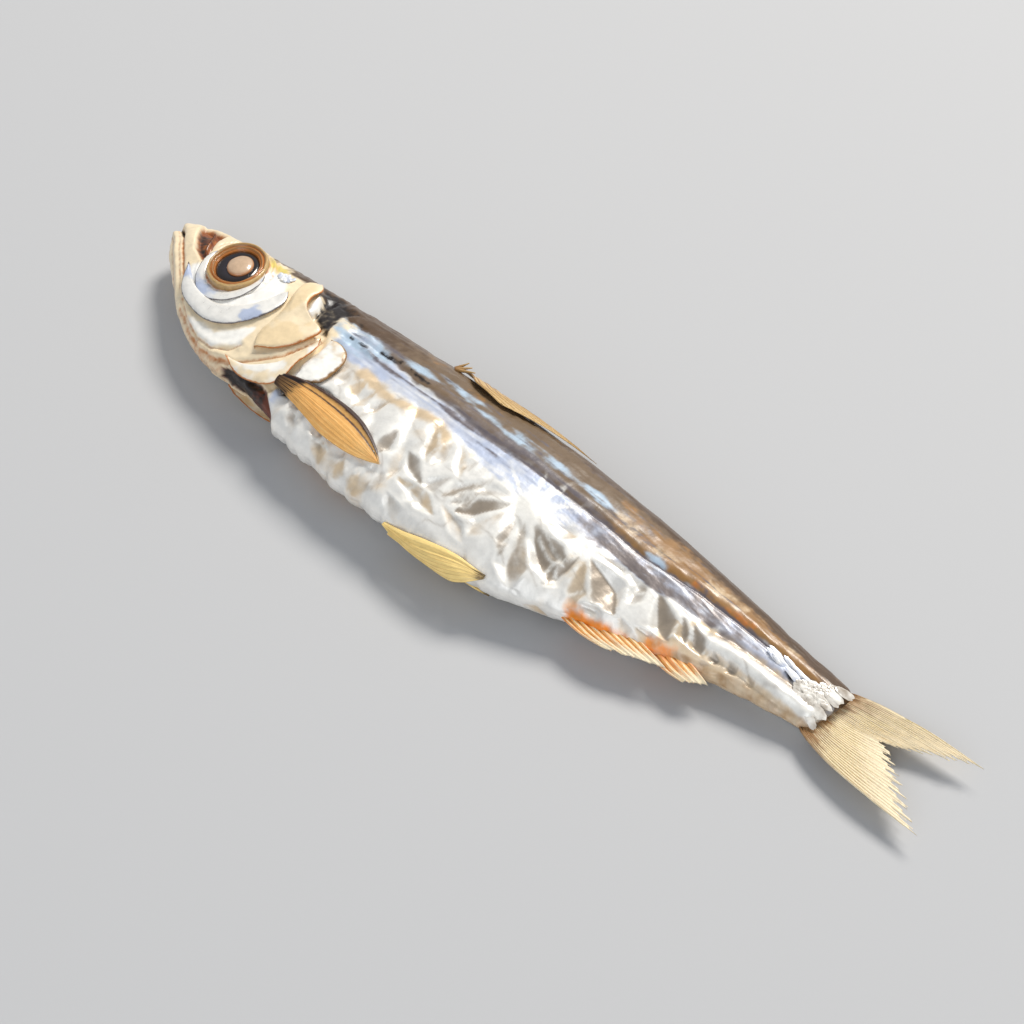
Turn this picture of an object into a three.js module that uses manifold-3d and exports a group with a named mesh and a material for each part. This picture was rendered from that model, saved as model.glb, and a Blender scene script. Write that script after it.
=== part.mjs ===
// A small sardine-like fish, dried whole, lying on its right side.
//
// Millimetres, +Z up. The snout points along -X, the tail along +X, the back faces +Y,
// the belly -Y and the left flank looks up. The origin is the centre of the bounding
// box's bottom face, so the flank that dried flat rests on Z = 0.
//
// Head, gill covers, jaws, trunk and tail stalk grew and dried as one skin-covered
// piece. The eyes and the fins are separate organs, each a closed solid that keeps a
// small clearance to the skin.

import * as THREE from 'three';
import { mergeVertices } from 'three/addons/utils/BufferGeometryUtils.js';
import Module from 'manifold-3d';

// ---- Driving dimensions ------------------------------------------------------------

const bodyLength = 102; // snout tip to the end of the tail stalk
const bodyDepth = 20.6; // back to belly at the deepest station
const bodyThickness = 9.8; // flank to flank at the thickest station
const flatDepth = 0.4; // how far the underside was pressed flat while drying
const clearance = 0.3; // gap between the skin and every separate organ

const eyeDiameter = 6.6;
const eyeBulge = 0.7; // how far the dried eye stands proud of its rim
const eyeSeat = 1.3; // how deep the eye sits in its socket
const eyeSink = 0.15; // how far the eye's rim lies under the skin

const mouthLength = 3.4;
const mouthGape = 0.7; // opening between the jaw tips

const finThickness = 0.6;
const pectoralLength = 17.5;
const pectoralWidth = 4.2;
const pelvicLength = 13;
const pelvicWidth = 3.6;
const dorsalLength = 20;
const dorsalHeight = 2.4; // of the folded fin, measured round the back
const analLength = 16;
const analHeight = 2.2;
const tailLength = 17.7; // root to the lower lobe's tip
const tailSpread = 11.4; // between the lobes' tips
const tailFork = 6.6; // root to the bottom of the fork
const tailThickness = 0.8;

const lobeRatio = 0.86; // the upper lobe's length over the lower one's
const forkRise = 0.4; // how far the fork lies from the tail's axis towards the back

// ---- Where things lie, as shares of the body's length or angles round it ------------
// Angles run round a section from the back's ridge (0) over the left flank (90) to the
// belly's keel (180), in degrees.

const eyePlace = { along: 0.123, angle: 82.5 };
const pectoralPlace = { along: 0.292, rootAngle: 128, tipAngle: 133 };
const pelvicPlace = { along: 0.512, rootAngle: 163, tipAngle: 160 };
const dorsalPlace = { along: 0.402, rootAngle: 15, tipAngle: 12 };
const analPlace = { along: 0.737 };

// The outline of the leaf-shaped fins, as shares of their length and width.
const leafRoot = 0.2; // how far along the leaf's swell its root starts
const leafSkew = 1.1; // above 1 the fin is widest beyond its middle
const leafTip = 0.14; // width left at the tip
const leastSlope = 0.55; // keeps a fin narrow where the skin turns edge on
const dorsalEnd = 0.35; // height left at the dorsal fin's hind end
const ridgeRadius = 1.6; // of the back's ridge, over the body's half thickness
const analFront = 0.4; // height at the anal fin's front end
const analRise = 6; // how fast it grows from there to its full height
const analEnd = 0.3; // height left at its hind end

// The body's sections from snout to tail stalk: the ridge of the back and the keel of
// the belly as shares of bodyDepth, and the half thickness and the middle's height over
// the resting plane as shares of bodyThickness.
const sections = [
  { along: 0.0, back: 0.05, belly: -0.09, half: 0.09, middle: 0.45 }, // lips
  { along: 0.03, back: 0.1, belly: -0.215, half: 0.215, middle: 0.45 }, // snout
  { along: 0.078, back: 0.135, belly: -0.375, half: 0.325, middle: 0.45 }, // before the eye
  { along: 0.157, back: 0.185, belly: -0.565, half: 0.41, middle: 0.45 }, // jaw corner
  { along: 0.235, back: 0.21, belly: -0.61, half: 0.45, middle: 0.47 }, // gill cover
  { along: 0.333, back: 0.24, belly: -0.69, half: 0.48, middle: 0.49 }, // pectoral fin
  { along: 0.451, back: 0.27, belly: -0.725, half: 0.5, middle: 0.495 }, // deepest belly
  { along: 0.569, back: 0.29, belly: -0.705, half: 0.48, middle: 0.48 }, // pelvic fin
  { along: 0.647, back: 0.295, belly: -0.66, half: 0.44, middle: 0.45 }, // hind belly
  { along: 0.725, back: 0.286, belly: -0.51, half: 0.378, middle: 0.403 }, // vent
  { along: 0.804, back: 0.27, belly: -0.372, half: 0.316, middle: 0.357 }, // anal fin
  { along: 0.902, back: 0.238, belly: -0.223, half: 0.214, middle: 0.296 }, // tail stalk
  { along: 1.0, back: 0.209, belly: -0.126, half: 0.133, middle: 0.245 }, // tail root
];

const flankFullness = 0.85; // below 1 the sections are fuller than ellipses
const shoulderLean = 0.22; // how far the thickness sits towards the back
const widestTurn = 0.3; // cosine of the angle at which the leaning section is widest
const leanAtWidest = 1 + shoulderLean * widestTurn;
const snoutCrowding = 1.15; // above 1 the stations stand closer together at the snout

const bodyStations = 46;
const bodySides = 28;
const finSteps = 14;
const finStrips = 4;
const eyeSides = 24;
const eyeArcSteps = 5;

// ---- The skin as a function ---------------------------------------------------------

const sectionValues = sections.flatMap(({ back, belly, half, middle }) => [
  back * bodyDepth,
  belly * bodyDepth,
  half * bodyThickness,
  middle * bodyThickness,
]);
const sectionCurve = new THREE.CubicInterpolant(
  sections.map(({ along }) => along),
  sectionValues,
  4,
);

function sectionAt(along) {
  const [back, belly, half, middle] = sectionCurve.evaluate(along);
  return { back, belly, half, middle };
}

// A point of the skin before the underside was pressed flat.
function roundSkinPoint(along, angle) {
  const { back, belly, half, middle } = sectionAt(along);
  const turn = THREE.MathUtils.degToRad(angle);
  const lean = (1 + shoulderLean * Math.cos(turn)) / leanAtWidest;
  const side = Math.sign(Math.sin(turn)) * Math.abs(Math.sin(turn)) ** flankFullness;
  return new THREE.Vector3(
    along * bodyLength,
    (back + belly) / 2 + ((back - belly) / 2) * Math.cos(turn),
    middle + half * side * lean,
  );
}

function skinNormal(along, angle) {
  const stepAlong = 0.01;
  const stepAngle = 2;
  const lengthwise = roundSkinPoint(Math.min(along + stepAlong, 1), angle).sub(
    roundSkinPoint(along - stepAlong, angle),
  );
  const crosswise = roundSkinPoint(along, angle + stepAngle).sub(
    roundSkinPoint(along, angle - stepAngle),
  );
  return crosswise.cross(lengthwise).normalize();
}

function offSkin(along, angle, distance) {
  return roundSkinPoint(along, angle).addScaledVector(skinNormal(along, angle), distance);
}

// ---- Mesh helpers -------------------------------------------------------------------

function geometryFrom(points, triangles) {
  const geometry = new THREE.BufferGeometry();
  geometry.setAttribute('position', new THREE.Float32BufferAttribute(points.flat(), 3));
  geometry.setIndex(triangles.flat());
  return geometry;
}

// Joins closed rings of points, all listed the same way round, and caps both ends.
function loft(rings) {
  const sides = rings[0].length;
  const points = rings.flat().map((point) => point.toArray());
  const triangles = [];
  for (let ring = 0; ring < rings.length - 1; ring += 1) {
    for (let side = 0; side < sides; side += 1) {
      const here = ring * sides + side;
      const beside = ring * sides + ((side + 1) % sides);
      triangles.push([here, beside, beside + sides], [here, beside + sides, here + sides]);
    }
  }
  for (const [ring, flip] of [[0, true], [rings.length - 1, false]]) {
    const centre = new THREE.Vector3();
    rings[ring].forEach((point) => centre.addScaledVector(point, 1 / sides));
    const hub = points.push(centre.toArray()) - 1;
    for (let side = 0; side < sides; side += 1) {
      const here = ring * sides + side;
      const beside = ring * sides + ((side + 1) % sides);
      triangles.push(flip ? [hub, beside, here] : [hub, here, beside]);
    }
  }
  return geometryFrom(points, triangles);
}

// A thin closed plate. pointAt(u, v, face) gives a point of its lower face (face = 0) or
// its upper face (face = 1), for u and v from 0 to 1.
function plate(pointAt, stepsAlong = finSteps, stepsAcross = finStrips) {
  const rings = [];
  for (let i = 0; i <= stepsAlong; i += 1) {
    const ring = [];
    for (let j = 0; j <= stepsAcross; j += 1) {
      ring.push(pointAt(i / stepsAlong, j / stepsAcross, 1));
    }
    for (let j = stepsAcross; j >= 0; j -= 1) {
      ring.push(pointAt(i / stepsAlong, j / stepsAcross, 0));
    }
    rings.push(ring);
  }
  return pressFlat(loft(rings));
}

// Nothing reaches below the plane that the fish was pressed flat on.
function pressFlat(geometry) {
  const position = geometry.getAttribute('position');
  for (let i = 0; i < position.count; i += 1) {
    position.setZ(i, Math.max(position.getZ(i), flatDepth));
  }
  return geometry;
}

// Turns a closed geometry the right way out if it came inside out.
function facingOut(geometry) {
  const position = geometry.getAttribute('position');
  const index = geometry.getIndex().array;
  const corners = [new THREE.Vector3(), new THREE.Vector3(), new THREE.Vector3()];
  let volume = 0;
  for (let i = 0; i < index.length; i += 3) {
    corners.forEach((corner, k) => corner.fromBufferAttribute(position, index[i + k]));
    volume += corners[0].dot(corners[1].clone().cross(corners[2])) / 6;
  }
  if (volume < 0) {
    for (let i = 0; i < index.length; i += 3) {
      [index[i], index[i + 1]] = [index[i + 1], index[i]];
    }
  }
  return geometry;
}

const wasm = await Module();
wasm.setup();
const weldDistance = 1e-4;

function toSolid(source) {
  const geometry = source.clone();
  geometry.deleteAttribute('normal');
  geometry.deleteAttribute('uv');
  const merged = mergeVertices(geometry, weldDistance);
  return new wasm.Manifold(
    new wasm.Mesh({
      numProp: 3,
      vertProperties: merged.getAttribute('position').array,
      triVerts: Uint32Array.from(merged.getIndex().array),
    }),
  );
}

function toGeometry(solid) {
  const mesh = solid.getMesh();
  const geometry = new THREE.BufferGeometry();
  geometry.setAttribute('position', new THREE.BufferAttribute(mesh.vertProperties, 3));
  geometry.setIndex(new THREE.BufferAttribute(mesh.triVerts, 1));
  return geometry;
}

// ---- Eyes ---------------------------------------------------------------------------

// A lens: shallow dome outwards, deeper dome into the socket, a thin rim between them.
function eyeLens(grow = 0) {
  const radius = eyeDiameter / 2 + grow;
  const outline = [];
  for (let i = 0; i <= eyeArcSteps; i += 1) {
    const turn = (i / eyeArcSteps) * (Math.PI / 2);
    outline.push(new THREE.Vector2(radius * Math.sin(turn), -(eyeSeat + grow) * Math.cos(turn)));
  }
  for (let i = 1; i <= eyeArcSteps; i += 1) {
    const turn = (i / eyeArcSteps) * (Math.PI / 2);
    outline.push(new THREE.Vector2(radius * Math.cos(turn), (eyeBulge + grow) * Math.sin(turn)));
  }
  outline[0].x = 0;
  outline[outline.length - 1].x = 0;
  return new THREE.LatheGeometry(outline, eyeSides);
}

// Sets a lens into the skin: its axis along the skin's normal, its rim just under it.
function seatEye(geometry, angle) {
  const normal = skinNormal(eyePlace.along, angle);
  const seat = offSkin(eyePlace.along, angle, -eyeSink);
  const turn = new THREE.Quaternion().setFromUnitVectors(new THREE.Vector3(0, 1, 0), normal);
  return geometry.applyQuaternion(turn).translate(seat.x, seat.y, seat.z);
}

function makeEye(angle) {
  return pressFlat(toGeometry(toSolid(seatEye(eyeLens(), angle))));
}

// ---- Body ---------------------------------------------------------------------------

// A wedge through both flanks between the jaw tips, from before the lips to its edge.
function makeMouthWedge() {
  const lips = sectionAt(0);
  const middle = (lips.back + lips.belly) / 2;
  const outline = new THREE.Shape();
  outline.moveTo(-mouthLength, middle + mouthGape);
  outline.lineTo(mouthLength, middle - mouthGape);
  outline.lineTo(-mouthLength, middle - mouthGape);
  const wedge = new THREE.ExtrudeGeometry(outline, {
    depth: bodyThickness * 2,
    bevelEnabled: false,
  });
  return wedge.translate(0, 0, -bodyThickness / 2);
}

function makeBody() {
  const rings = [];
  for (let i = 0; i < bodyStations; i += 1) {
    const along = (i / (bodyStations - 1)) ** snoutCrowding;
    const ring = [];
    for (let side = 0; side < bodySides; side += 1) {
      ring.push(roundSkinPoint(along, (360 * side) / bodySides));
    }
    rings.push(ring);
  }
  const cuts = [
    seatEye(eyeLens(clearance), eyePlace.angle),
    seatEye(eyeLens(clearance), -eyePlace.angle),
    makeMouthWedge(),
  ];
  let body = toSolid(facingOut(pressFlat(loft(rings))));
  cuts.forEach((cut) => {
    body = body.subtract(toSolid(cut));
  });
  return toGeometry(body);
}

// ---- Fins ---------------------------------------------------------------------------

// A leaf-shaped fin pressed against the skin. side is 1 on the left flank, -1 beneath.
function makeLeafFin(place, length, width, side) {
  return plate((u, v, face) => {
    const along = place.along + (u * length) / bodyLength;
    const { back, belly } = sectionAt(along);
    const middleAngle = THREE.MathUtils.lerp(place.rootAngle, place.tipAngle, u);
    const leaf = Math.sin(Math.PI * THREE.MathUtils.lerp(leafRoot, 1, u) ** leafSkew);
    const share = Math.max(leaf, leafTip);
    const slope = Math.max(Math.sin(THREE.MathUtils.degToRad(middleAngle)), leastSlope);
    const halfTurn = THREE.MathUtils.radToDeg(width / (back - belly) / slope);
    const angle = middleAngle + (v - 0.5) * 2 * halfTurn * share;
    return offSkin(along, side * angle, clearance + face * finThickness);
  });
}

// The dorsal fin, folded down on the left of the back's ridge behind its first spine.
function makeDorsalFin() {
  return plate((u, v, face) => {
    const along = dorsalPlace.along + (u * dorsalLength) / bodyLength;
    const { half } = sectionAt(along);
    const middleAngle = THREE.MathUtils.lerp(dorsalPlace.rootAngle, dorsalPlace.tipAngle, u);
    const height = dorsalHeight * THREE.MathUtils.lerp(1, dorsalEnd, u);
    const halfTurn = THREE.MathUtils.radToDeg(height / 2 / half / ridgeRadius);
    const angle = middleAngle + (v - 0.5) * 2 * halfTurn;
    return offSkin(along, angle, clearance + face * finThickness);
  });
}

// The anal fin: a low blade standing out from the belly's keel behind the vent.
function makeAnalFin() {
  const keelAngle = 180;
  return plate((u, v, face) => {
    const along = analPlace.along + (u * analLength) / bodyLength;
    const full = Math.min(1, analFront + analRise * u);
    const height = analHeight * THREE.MathUtils.lerp(full, analEnd, u);
    const point = offSkin(along, keelAngle, clearance + v * height);
    point.z += (face - 0.5) * finThickness;
    return point;
  });
}

// The tail fin: two lobes with a straight-sided fork, rooted on the tail stalk's end.
function makeTailFin() {
  const { back, belly, middle } = sectionAt(1);
  const axis = (back + belly) / 2;
  const rootX = bodyLength + clearance;
  const upper = new THREE.Vector2(rootX + tailLength * lobeRatio, axis + tailSpread / 2);
  const fork = new THREE.Vector2(rootX + tailFork, axis + (back - axis) * forkRise);
  const lower = new THREE.Vector2(rootX + tailLength, axis - tailSpread / 2);
  return plate((u, v, face) => {
    const root = new THREE.Vector2(rootX, THREE.MathUtils.lerp(back, belly, u));
    const edge =
      u < 0.5 ? upper.clone().lerp(fork, u * 2) : fork.clone().lerp(lower, u * 2 - 1);
    const point = root.lerp(edge, v);
    return new THREE.Vector3(point.x, point.y, middle + (face - 0.5) * tailThickness);
  });
}

// ---- The fish -----------------------------------------------------------------------

const skinSilver = new THREE.MeshStandardMaterial({
  color: 0xd9cdb8,
  roughness: 0.38,
  metalness: 0.35,
});
const eyeDark = new THREE.MeshStandardMaterial({
  color: 0x2a1c18,
  roughness: 0.25,
  metalness: 0,
});
const finAmber = new THREE.MeshStandardMaterial({
  color: 0xdb9a4a,
  roughness: 0.5,
  metalness: 0,
});
const finGold = new THREE.MeshStandardMaterial({
  color: 0xc9a24e,
  roughness: 0.5,
  metalness: 0,
});
const finBrown = new THREE.MeshStandardMaterial({
  color: 0x8f6b45,
  roughness: 0.55,
  metalness: 0,
});
const finStraw = new THREE.MeshStandardMaterial({
  color: 0xdcc28a,
  roughness: 0.5,
  metalness: 0,
});

const leftEye = eyePlace.angle;
const pieces = [
  ['fish_body', makeBody(), skinSilver],
  ['eye_left', makeEye(leftEye), eyeDark],
  ['eye_right', makeEye(-leftEye), eyeDark],
  ['pectoral_fin_left', makeLeafFin(pectoralPlace, pectoralLength, pectoralWidth, 1), finAmber],
  ['pectoral_fin_right', makeLeafFin(pectoralPlace, pectoralLength, pectoralWidth, -1), finAmber],
  ['pelvic_fin_left', makeLeafFin(pelvicPlace, pelvicLength, pelvicWidth, 1), finGold],
  ['pelvic_fin_right', makeLeafFin(pelvicPlace, pelvicLength, pelvicWidth, -1), finGold],
  ['dorsal_fin', makeDorsalFin(), finBrown],
  ['anal_fin', makeAnalFin(), finAmber],
  ['tail_fin', makeTailFin(), finStraw],
];

const lying = new THREE.Group();
for (const [name, geometry, material] of pieces) {
  const mesh = new THREE.Mesh(facingOut(geometry), material);
  mesh.name = name;
  lying.add(mesh);
}

// Put the bounding box's bottom centre at the origin.
const extent = new THREE.Box3().setFromObject(lying);
const middle = extent.getCenter(new THREE.Vector3());
lying.position.set(-middle.x, -middle.y, -extent.min.z);

const fish = new THREE.Group();
fish.add(lying);

export default fish;
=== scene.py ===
import math
from random import Random

import bpy
import numpy as np
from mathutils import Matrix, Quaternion, Vector


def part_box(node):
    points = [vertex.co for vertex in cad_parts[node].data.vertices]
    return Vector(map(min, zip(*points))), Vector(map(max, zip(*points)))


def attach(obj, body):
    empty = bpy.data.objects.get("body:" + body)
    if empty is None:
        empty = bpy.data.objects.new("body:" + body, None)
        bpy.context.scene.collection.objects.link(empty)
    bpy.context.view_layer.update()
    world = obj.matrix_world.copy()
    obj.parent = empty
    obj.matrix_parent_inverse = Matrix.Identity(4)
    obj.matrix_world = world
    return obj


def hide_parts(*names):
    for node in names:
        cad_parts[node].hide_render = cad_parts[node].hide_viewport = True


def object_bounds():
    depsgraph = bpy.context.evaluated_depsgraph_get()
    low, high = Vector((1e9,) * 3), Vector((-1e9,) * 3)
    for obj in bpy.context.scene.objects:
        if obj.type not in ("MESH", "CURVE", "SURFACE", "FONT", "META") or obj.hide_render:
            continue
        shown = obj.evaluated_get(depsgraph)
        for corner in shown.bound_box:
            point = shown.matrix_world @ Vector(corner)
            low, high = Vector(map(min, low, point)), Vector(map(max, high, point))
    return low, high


# A small sardine-like fish, dried whole and lying on its right side. Millimetres are
# used inside the script and turned into metres when a mesh is made. Places on the skin
# are given as s, the distance from the snout along the fish, and y, the height towards
# the back, both in millimetres; side is 1 on the left flank and -1 on the right one.

bl_info = {
    "name": "Dried fish",
    "version": (1, 0, 0),
    "blender": (4, 5, 0),
    "location": "View3D > Sidebar > Dried fish",
    "description": "Builds a small whole dried fish piece by piece",
    "category": "Add Mesh",
}

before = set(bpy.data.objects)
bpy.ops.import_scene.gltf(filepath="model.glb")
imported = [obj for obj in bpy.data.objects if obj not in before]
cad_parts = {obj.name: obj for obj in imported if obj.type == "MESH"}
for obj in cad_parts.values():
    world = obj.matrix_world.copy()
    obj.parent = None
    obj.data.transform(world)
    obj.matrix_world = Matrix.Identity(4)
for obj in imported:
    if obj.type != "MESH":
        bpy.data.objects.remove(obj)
CAD_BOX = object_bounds()
BODY_LOW, BODY_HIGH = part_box("fish_body")
MM = 0.001

# ---- The body's sections ----------------------------------------------------------------

# Share of the length, then the back's ridge and the belly's keel as shares of the depth,
# then the half thickness and the middle's height as shares of the thickness.
SECTIONS = np.array(
    [
        (0.0, 0.05, -0.09, 0.09, 0.45),
        (0.03, 0.1, -0.215, 0.215, 0.45),
        (0.078, 0.135, -0.375, 0.325, 0.45),
        (0.157, 0.185, -0.565, 0.41, 0.45),
        (0.235, 0.21, -0.61, 0.45, 0.47),
        (0.333, 0.24, -0.69, 0.48, 0.49),
        (0.451, 0.27, -0.725, 0.5, 0.495),
        (0.569, 0.29, -0.705, 0.48, 0.48),
        (0.647, 0.295, -0.66, 0.44, 0.45),
        (0.725, 0.286, -0.51, 0.378, 0.403),
        (0.804, 0.27, -0.372, 0.316, 0.357),
        (0.902, 0.238, -0.223, 0.214, 0.296),
        (1.0, 0.209, -0.126, 0.133, 0.245),
    ]
).T
FLANK_FULLNESS = 0.85
SHOULDER_LEAN = 0.22
LEAN_AT_WIDEST = 1 + SHOULDER_LEAN * 0.3
FLAT_DEPTH = 0.4


def smooth_curve(places, values):
    """A curve through the values, with each slope taken from its neighbours."""
    places = np.asarray(places, float)
    values = np.asarray(values, float)
    slopes = np.gradient(values, places)
    slopes[1:-1] = (values[2:] - values[:-2]) / (places[2:] - places[:-2])

    def at(x):
        x = np.clip(x, places[0], places[-1])
        i = np.clip(np.searchsorted(places, x, side="right") - 1, 0, len(places) - 2)
        width = places[i + 1] - places[i]
        t = (x - places[i]) / width
        rise = (2 * t**3 - 3 * t**2 + 1) * values[i] + (3 * t**2 - 2 * t**3) * values[i + 1]
        bend = (t**3 - 2 * t**2 + t) * slopes[i] + (t**3 - t**2) * slopes[i + 1]
        return rise + bend * width

    return at


back_share, belly_share, half_share, middle_share = (
    smooth_curve(SECTIONS[0], row) for row in SECTIONS[1:]
)
ALONG_SAMPLES = np.linspace(0, 1, 400)
LENGTH = (BODY_HIGH.x - BODY_LOW.x) / MM
DEEPEST = belly_share(ALONG_SAMPLES).min()
DEPTH = (BODY_HIGH.y - BODY_LOW.y) / MM / (back_share(ALONG_SAMPLES).max() - DEEPEST)
TOP_SHARE = (middle_share(ALONG_SAMPLES) + half_share(ALONG_SAMPLES)).max()
THICKNESS = ((BODY_HIGH.z - BODY_LOW.z) / MM + FLAT_DEPTH) / TOP_SHARE


def section(s):
    """Back, belly, half thickness and middle height of the section at s."""
    along = np.asarray(s, float) / LENGTH
    return (
        back_share(along) * DEPTH,
        belly_share(along) * DEPTH,
        half_share(along) * THICKNESS,
        middle_share(along) * THICKNESS,
    )


def skin_point(s, turn):
    """Points of the smooth skin at s, turn radians round from the back's ridge."""
    back, belly, half, middle = section(s)
    lean = (1 + SHOULDER_LEAN * np.cos(turn)) / LEAN_AT_WIDEST
    bulge = np.sign(np.sin(turn)) * np.abs(np.sin(turn)) ** FLANK_FULLNESS
    y = (back + belly) / 2 + (back - belly) / 2 * np.cos(turn)
    z = middle + half * bulge * lean
    return np.stack(np.broadcast_arrays(np.asarray(s, float), y, z), -1)


def unit(v):
    return v / np.maximum(np.linalg.norm(v, axis=-1, keepdims=True), 1e-9)


def skin_normal(s, turn):
    ds, dt = 0.4, 0.03
    lengthwise = skin_point(np.minimum(s + ds, LENGTH), turn) - skin_point(np.maximum(s - ds, 0), turn)
    crosswise = skin_point(s, turn + dt) - skin_point(s, turn - dt)
    return unit(np.cross(crosswise, lengthwise))


def turn_at(s, y, side=1):
    """The turn round the section at which the skin reaches y."""
    back, belly, _, _ = section(s)
    share = (y - (back + belly) / 2) / ((back - belly) / 2)
    return side * np.arccos(np.clip(share, -0.995, 0.995))


def off_skin(s, y, lift, side=1):
    turn = turn_at(s, y, side)
    return skin_point(s, turn) + skin_normal(s, turn) * np.asarray(lift)[..., None]


def to_frame(points):
    """Millimetres from the snout to metres in the part's frame, kept off the floor."""
    placed = np.array(points, float)
    placed[..., 2] = np.maximum(placed[..., 2] - FLAT_DEPTH, 0.0)
    placed[..., 1] -= DEEPEST * DEPTH
    return placed * MM + np.array([BODY_LOW.x, BODY_LOW.y, 0.0])


# ---- Noise, distances and masks ---------------------------------------------------------


def lattice(ix, iy, seed):
    """A repeatable random number from 0 to 1 for each whole-number cell."""
    mixed = (ix * 374761393 + iy * 668265263 + seed * 362437) & 0xFFFFFFFF
    mixed = ((mixed ^ (mixed >> 13)) * 1274126177) & 0xFFFFFFFF
    return ((mixed ^ (mixed >> 16)) & 0xFFFFFF) / 0xFFFFFF


def noise(x, y, seed=0, octaves=3):
    """Smooth noise from -1 to 1."""
    total = np.zeros(np.broadcast(x, y).shape)
    strength, reach = 1.0, 0.0
    for octave in range(octaves):
        px, py = x * 2**octave + 17.3 * octave, y * 2**octave - 9.1 * octave
        ix, iy = np.floor(px).astype(np.int64), np.floor(py).astype(np.int64)
        fx, fy = px - ix, py - iy
        fx, fy = fx * fx * (3 - 2 * fx), fy * fy * (3 - 2 * fy)
        low = lattice(ix, iy, seed) * (1 - fx) + lattice(ix + 1, iy, seed) * fx
        high = lattice(ix, iy + 1, seed) * (1 - fx) + lattice(ix + 1, iy + 1, seed) * fx
        total = total + strength * (low * (1 - fy) + high * fy)
        reach += strength
        strength *= 0.5
    return total / reach * 2 - 1


def step(low, high, x):
    """0 before low, 1 past high, smooth between; low may be the larger one."""
    t = np.clip((x - low) / (high - low), 0, 1)
    return t * t * (3 - 2 * t)


def bump(x, width):
    return np.exp(-((x / width) ** 2))


def path_distance(s, y, path):
    """Distance to a line through the path's points, and its sign: + on its left."""
    best = np.full(np.shape(s), 1e9)
    sign = np.ones(np.shape(s))
    for (s0, y0), (s1, y1) in zip(path[:-1], path[1:]):
        ds, dy = s1 - s0, y1 - y0
        share = np.clip(((s - s0) * ds + (y - y0) * dy) / (ds * ds + dy * dy), 0, 1)
        away = np.hypot(s - s0 - share * ds, y - y0 - share * dy)
        nearer = away < best
        best = np.where(nearer, away, best)
        sign = np.where(nearer, np.sign(ds * (y - y0) - dy * (s - s0)), sign)
    return best, sign


def region(s, y, corners, soft=0.3):
    """1 inside a closed outline, 0 outside, fading over soft."""
    away, _ = path_distance(s, y, list(corners) + [corners[0]])
    inside = np.zeros(np.shape(s), bool)
    for (s0, y0), (s1, y1) in zip(corners, list(corners[1:]) + [corners[0]]):
        crosses = (y0 > y) != (y1 > y)
        level = (s1 - s0) * (y - y0) / ((y1 - y0) if y1 != y0 else 1e-9) + s0
        inside ^= crosses & (s < level)
    return step(-soft, soft, np.where(inside, away, -away))


def smooth_path(points, count):
    """An even run of points on a smooth curve through the given ones."""
    points = np.asarray(points, float)
    reach = np.concatenate([[0], np.cumsum(np.linalg.norm(np.diff(points, axis=0), axis=1))])
    at = np.linspace(0, reach[-1], count)
    return np.stack([smooth_curve(reach, column)(at) for column in points.T], -1)


# ---- Places on the skin, as (s, y) ------------------------------------------------------

EYE_S, EYE_Y = 12.4, -2.1
EYE_LEAN, EYE_STRETCH = math.radians(-45), 1.15
MOUTH_LINE = [(0.0, -0.4), (1.8, -1.5), (4.4, -3.6), (7.4, -5.9), (9.6, -7.8)]
JAW_LINE = [(10.2, -8.3), (12.9, -9.9), (16.2, -11.2), (19.1, -11.4), (21.2, -10.7), (22.1, -9.6)]
CHIN_LINE = [(10.9, -9.2), (14.9, -11.1), (17.2, -11.8), (20.1, -12.0), (22.4, -11.8)]
GILL_LINE = [(20.1, -12.0), (23.1, -11.4), (25.3, -10.0), (27.5, -8.1), (28.3, -6.2), (28.9, -4.0)]
GILL_EDGE = [
    (24.2, 1.6), (24.4, -1.2), (25.4, -2.4), (28.6, -3.4), (30.0, -5.3), (30.1, -9.4), (29.4, -11.4),
    (26.1, -11.9),
]
SNOUT_PIT = [
    (2.3, 1.6), (2.7, 0.4), (3.9, -1.1), (5.4, -2.5), (7.8, -3.5), (8.0, -2.8), (6.7, -0.7), (6.0, 1.8),
]
THROAT_WINDOW = [
    (21.6, -12.2), (23.8, -11.9), (27.5, -11.8), (29.2, -12.1), (30.4, -12.9), (33.0, -14.6),
    (29.0, -14.6), (24.0, -13.6),
]
GILL_TOP_DARK = [
    (20.6, 3.2), (22.6, 1.6), (24.0, 0.2), (24.8, -1.8), (26.6, -2.9), (28.6, -3.3), (27.8, -1.4),
    (27.2, 0.4), (27.8, 1.6), (24.6, 3.2),
]
GILL_TOP_PALE = [(23.0, 0.8), (23.7, 0.7), (24.6, -0.6), (24.9, -2.0), (24.2, -2.1), (23.5, -0.8)]
SKY_PATCH = [(27.4, 0.9), (30.2, 0.8), (34.6, 0.0), (37.4, -1.0), (34.0, -3.0), (29.6, -2.8), (27.7, -0.8)]
FIN_POCKET = [
    (29.6, -10.9), (30.0, -9.6), (32.0, -9.2), (35.4, -8.5), (37.0, -8.9), (33.4, -10.8), (31.0, -11.6),
]
LATERAL_GROOVE = [
    (33.0, -1.0), (38.3, -0.9), (42.3, -1.8), (47.4, -1.4), (54.9, -1.6), (60.0, -1.2), (65.0, -1.1),
    (70.0, -0.7), (76.0, -0.6), (83.3, 0.6), (91.5, 1.2), (102.0, 1.5),
]
PALE_EDGE = [
    (31.4, -3.8), (36.0, -4.2), (41.6, -4.4), (46.7, -3.7), (52.9, -4.4), (61.4, -5.0), (70.0, -3.6),
    (78.0, -2.8), (87.0, -1.6), (102.0, -0.6),
]
BAND_TOP = [
    (26.4, 2.6), (30.5, 0.9), (35.5, -0.7), (42.0, -1.7), (47.4, -1.3), (54.9, -1.6), (60.0, -1.2),
    (65.0, -1.1), (70.0, -0.7), (76.0, -0.6), (83.3, 0.6), (91.5, 1.2), (102.0, 1.5),
]
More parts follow.
